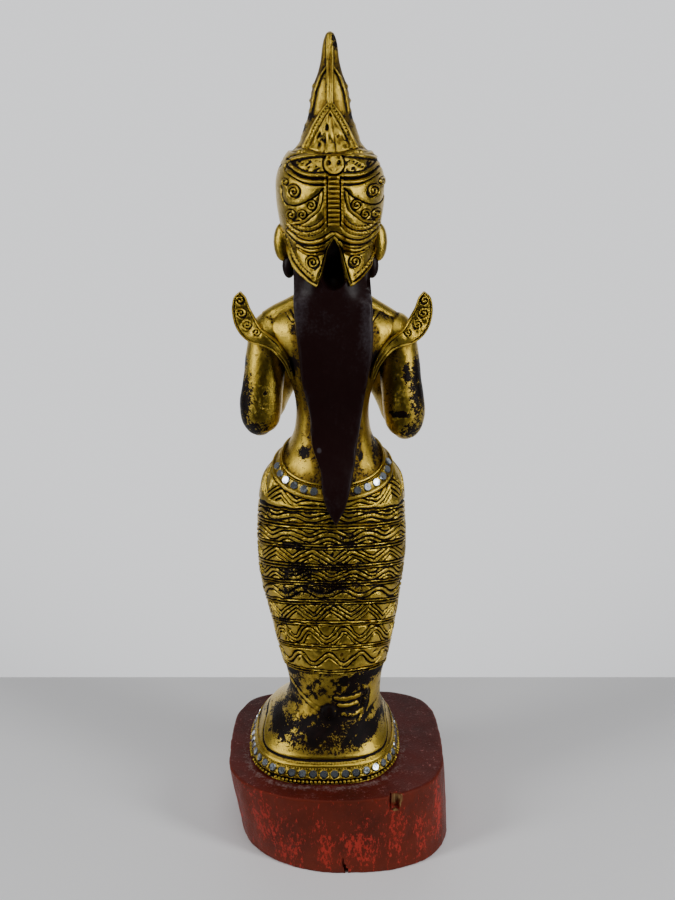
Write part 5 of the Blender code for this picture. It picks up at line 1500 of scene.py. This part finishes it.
def worn_gilding(material):
    """Gold leaf over dark lacquer: dark in the cuts and hollows, from dirt and showing lacquer and partly from
    painted shade, worn off in ragged flecks by rubbing, crinkled and bright.
    """
    nodes, links, surface = shader(material)
    where = nodes.new("ShaderNodeTexCoord").outputs["Object"]
    patches = noise(nodes, links, where, 120.0, 8.0, 0.78)
    specks = noise(nodes, links, where, 480.0, 5.0, 0.75)
    fine = noise(nodes, links, where, 1500.0, 3.0, 0.6)
    tone = noise(nodes, links, where, 38.0, 4.0, 0.6)
    cut, hollow = stored(nodes, "cut"), stored(nodes, "hollow")
    edge, worn = stored(nodes, "edge"), stored(nodes, "worn")
    spots = soft_ovals(nodes, links, where, SPOTS)
    dull_crown = soft_ovals(nodes, links, where, DULL_CROWN)
    # The cut and hollow values also turn the gold to bare dark lacquer in recesses: lacquer showing there, and
    # partly painted shade.
    loss = sums(nodes, links, ((worn, 0.66), (spots, 0.72), (cut, 0.72), (hollow, 0.34), (patches, 1.45),
                               (specks, 1.45), (edge, -0.05)), -1.43)
    bare = ramp(nodes, links, loss, 0.42, 0.48)
    # Painted shade mixed with real dirt: cut and hollow darken the gold in recesses and creases, beside real
    # wear, specks and tone.
    dirt_and_recess_shade = sums(nodes, links, ((cut, 0.55), (hollow, 0.6), (specks, 0.9), (tone, 0.5), (edge, -0.4),
                               (worn, 0.45), (spots, 0.3), (dull_crown, 0.36)), -0.55)
    soil_and_shade = ramp(nodes, links, dirt_and_recess_shade, 0.05, 0.75)
    gold = mix(nodes, links, ramp(nodes, links, tone, 0.3, 0.7), (0.60, 0.425, 0.060), (0.46, 0.310, 0.036))
    dull = mix(nodes, links, soil_and_shade, gold, (0.15, 0.090, 0.012))
    brown = ramp(nodes, links, patches, 0.4, 0.7)
    lacquer = mix(nodes, links, brown, (0.0030, 0.0014, 0.0012), (0.010, 0.003, 0.0022))
    links.new(mix(nodes, links, bare, dull, lacquer), surface.inputs["Base Color"])
    links.new(ramp(nodes, links, loss, 0.42, 0.48, 1.0, 0.0), surface.inputs["Metallic"])
    rough = sums(nodes, links, ((specks, 0.16), (soil_and_shade, 0.20), (bare, 0.06)), 0.21)
    links.new(rough, surface.inputs["Roughness"])
    surface.inputs["Specular IOR Level"].default_value = 0.12
    relief = sums(nodes, links, ((specks, 0.8), (fine, 0.22), (patches, 1.3), (bare, -0.4)))
    add_bump(nodes, links, surface, relief, 0.0006, 0.45)


def hair_lacquer(material):
    """Dark purple-brown lacquer, half glossy, with grey places: random wear from rubbing, a painted sheen on its
    upper part, sides and edges, and a small worn mark.
    """
    nodes, links, surface = shader(material)
    where = nodes.new("ShaderNodeTexCoord").outputs["Object"]
    cloud = noise(nodes, links, where, 48.0, 5.0, 0.65)
    fine = noise(nodes, links, where, 500.0, 4.0, 0.65)
    edge = stored(nodes, "edge")
    sheen_and_rub = soft_ovals(nodes, links, where, HAIR_SHEEN_AND_RUB)
    # Painted sheen mixed with random rubbing: the ovals and the edge value lighten the lacquer to grey where
    # light would glance off.
    share = sums(nodes, links, ((cloud, 0.7), (fine, 0.9), (edge, 0.15), (sheen_and_rub, 0.9)), -0.55)
    rub_and_sheen = ramp(nodes, links, share, 0.34, 1.20)
    colour = mix(nodes, links, rub_and_sheen, (0.0125, 0.0040, 0.0040), (0.055, 0.046, 0.052))
    links.new(colour, surface.inputs["Base Color"])
    links.new(sums(nodes, links, ((cloud, 0.18), (fine, 0.22)), 0.20), surface.inputs["Roughness"])
    surface.inputs["Specular IOR Level"].default_value = 0.17
    add_bump(nodes, links, surface, sums(nodes, links, ((fine, 0.45), (cloud, 0.5))), 0.0006, 0.45)


def red_lacquer(material):
    """Dark red lacquer on the top, browner on the sides, scuffed to vermilion, dusty by the hem."""
    nodes, links, surface = shader(material)
    where = nodes.new("ShaderNodeTexCoord").outputs["Object"]
    upright = nodes.new("ShaderNodeMapping")
    upright.inputs["Scale"].default_value = (1.2, 1.2, 0.55)
    links.new(where, upright.inputs["Vector"])
    patches = noise(nodes, links, upright.outputs["Vector"], 105.0, 8.0, 0.78)
    specks = noise(nodes, links, upright.outputs["Vector"], 420.0, 5.0, 0.75)
    fine = noise(nodes, links, where, 1300.0, 3.0, 0.6)
    tone = noise(nodes, links, where, 22.0, 5.0, 0.65)
    scuff, dust = stored(nodes, "scuff"), stored(nodes, "dust")
    chip, top = stored(nodes, "bare"), stored(nodes, "top")
    side = mix(nodes, links, ramp(nodes, links, tone, 0.3, 0.7), (0.165, 0.024, 0.012), (0.095, 0.018, 0.010))
    flat = mix(nodes, links, ramp(nodes, links, tone, 0.35, 0.7), (0.094, 0.011, 0.007), (0.058, 0.009, 0.006))
    base = mix(nodes, links, top, side, flat)
    amount = sums(nodes, links, ((scuff, 0.46), (patches, 1.5), (specks, 1.5)), -1.50)
    red = mix(nodes, links, ramp(nodes, links, amount, 0.27, 0.45), base, (0.42, 0.036, 0.025))
    grey = sums(nodes, links, ((dust, 0.34), (top, 0.30), (specks, 1.0), (patches, 1.9)), -1.80)
    dusty = mix(nodes, links, ramp(nodes, links, grey, 0.05, 0.55, 0.0, 0.55), red, (0.24, 0.18, 0.17))
    grain = nodes.new("ShaderNodeMapping")
    grain.inputs["Scale"].default_value = (900.0, 900.0, 60.0)
    links.new(where, grain.inputs["Vector"])
    lines = noise(nodes, links, grain.outputs["Vector"], 1.0, 3.0, 0.6)
    wood = mix(nodes, links, ramp(nodes, links, lines, 0.35, 0.65), (0.36, 0.22, 0.09), (0.16, 0.08, 0.03))
    links.new(mix(nodes, links, chip, dusty, wood), surface.inputs["Base Color"])
    rough = sums(nodes, links, ((specks, 0.25), (dust, 0.2), (chip, 0.3), (scuff, 0.12)), 0.26)
    links.new(rough, surface.inputs["Roughness"])
    surface.inputs["Specular IOR Level"].default_value = 0.09
    relief = sums(nodes, links, ((specks, 0.6), (fine, 0.4), (patches, 1.0)))
    add_bump(nodes, links, surface, relief, 0.0006, 0.5)


def dull_mirror(material):
    """Old cut mirror glass, bright grey with dull spots."""
    nodes, links, surface = shader(material)
    where = nodes.new("ShaderNodeTexCoord").outputs["Object"]
    cloud = noise(nodes, links, where, 260.0, 4.0, 0.6)
    colour = mix(nodes, links, ramp(nodes, links, cloud, 0.35, 0.65), (0.62, 0.68, 0.74), (0.22, 0.25, 0.29))
    links.new(colour, surface.inputs["Base Color"])
    surface.inputs["Metallic"].default_value = 0.9
    links.new(ramp(nodes, links, cloud, 0.3, 0.7, 0.08, 0.42), surface.inputs["Roughness"])


def plain_stage(name, colour, rough):
    """Plain material for what the object stands on."""
    material = bpy.data.materials.new(name)
    surface = shader(material)[2]
    surface.inputs["Base Color"].default_value = colour
    surface.inputs["Roughness"].default_value = rough
    return material


def make_stage():
    """Plain pale table top whose far edge lies where the photograph's floor ends."""
    outline = ((-0.9, -0.22), (0.9, -0.22), (0.9, 0.20), (-0.9, 0.20))
    corners = [(x, y, z) for z in (-0.02, 0.0) for x, y in outline]
    sides = [(3, 2, 1, 0), (4, 5, 6, 7), (0, 1, 5, 4), (1, 2, 6, 5), (2, 3, 7, 6), (3, 0, 4, 7)]
    mesh = bpy.data.meshes.new("table_top")
    mesh.from_pydata(corners, [], sides)
    mesh.materials.append(plain_stage("pale_table", (0.88, 0.88, 0.89, 1.0), 0.6))
    table = bpy.data.objects.new("table_top", mesh)
    bpy.context.scene.collection.objects.link(table)


def make_light(name, place, aim, size, power, colour=(1.0, 1.0, 1.0)):
    """Soft square light pointed at a place."""
    lamp = bpy.data.lights.new(name, "AREA")
    lamp.shape = "RECTANGLE"
    lamp.size, lamp.size_y = size
    lamp.energy = power
    lamp.color = colour
    item = bpy.data.objects.new(name, lamp)
    item.location = place
    way = Vector(aim) - Vector(place)
    item.rotation_euler = way.to_track_quat("-Z", "Y").to_euler()
    bpy.context.scene.collection.objects.link(item)


def make_studio():
    """Two bright soft lights at the sides, a weak one above, and a pale room that is dark by the camera."""
    make_light("left_softbox", (1.00, 0.50, 0.80), (0.0, 0.0, 0.33), (0.26, 0.9), 8.6)
    make_light("right_softbox", (-0.95, 0.62, 0.70), (0.0, 0.0, 0.30), (0.26, 0.9), 9.4)
    make_light("top_light", (0.0, 0.45, 1.5), (0.0, 0.0, 0.2), (0.7, 0.5), 3.9)
    world = bpy.data.worlds.new("studio_room")
    bpy.context.scene.world = world
    world.use_nodes = True
    nodes, links = world.node_tree.nodes, world.node_tree.links
    nodes.clear()
    out = nodes.new("ShaderNodeOutputWorld")
    back = nodes.new("ShaderNodeBackground")
    links.new(back.outputs["Background"], out.inputs["Surface"])
    way = nodes.new("ShaderNodeTexCoord").outputs["Generated"]
    parts = nodes.new("ShaderNodeSeparateXYZ")
    links.new(way, parts.inputs["Vector"])
    sides = ramp(nodes, links, parts.outputs["Y"], -0.50, 0.50)
    wall = ramp(nodes, links, parts.outputs["Y"], -0.92, -0.55)
    room = mix(nodes, links, sides, (0.12, 0.12, 0.125), (0.008, 0.008, 0.009))
    links.new(mix(nodes, links, wall, (1.12, 1.13, 1.16), room), back.inputs["Color"])


def make_camera():
    """Camera at the photograph's place, behind and above the figure, looking down."""
    lens = bpy.data.cameras.new("view")
    lens.lens = 43.2
    lens.sensor_width = 36.0
    camera = bpy.data.objects.new("view", lens)
    camera.location = (0.00125, 0.8163, 0.6407)
    camera.rotation_euler = (math.radians(90.0 - 19.85), 0.0, math.radians(180.0))
    bpy.context.scene.collection.objects.link(camera)
    bpy.context.scene.camera = camera


def finish_shading(item, degrees):
    """Smooth the faces and keep edges that are sharper than an angle."""
    item.data.shade_smooth()
    item.data.set_sharp_from_angle(angle=math.radians(degrees))


def main():
    """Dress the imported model."""
    gilt, hair = bpy.data.materials.new("gilt"), bpy.data.materials.new("hair")
    worn_gilding(gilt)
    hair_lacquer(hair)
    figure = make_figure()
    make_beads(figure)
    thin(figure, 196000)
    figure_wear(figure)
    finish_shading(figure, 60.0)
    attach(figure, "root")
    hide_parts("figure")
    block = make_plinth()
    break_plinth(block)
    plinth_wear(block)
    lacquer = bpy.data.materials.new("red_block_lacquer")
    red_lacquer(lacquer)
    block.data.materials.clear()
    block.data.materials.append(lacquer)
    finish_shading(block, 40.0)
    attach(block, "root")
    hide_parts("plinth")
    mirror = bpy.data.materials.new("dull_mirror_glass")
    dull_mirror(mirror)
    glass, seats = make_glass(mirror)
    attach(glass, "root")
    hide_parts(*seats)
    make_stage()
    make_studio()
    make_camera()


main()
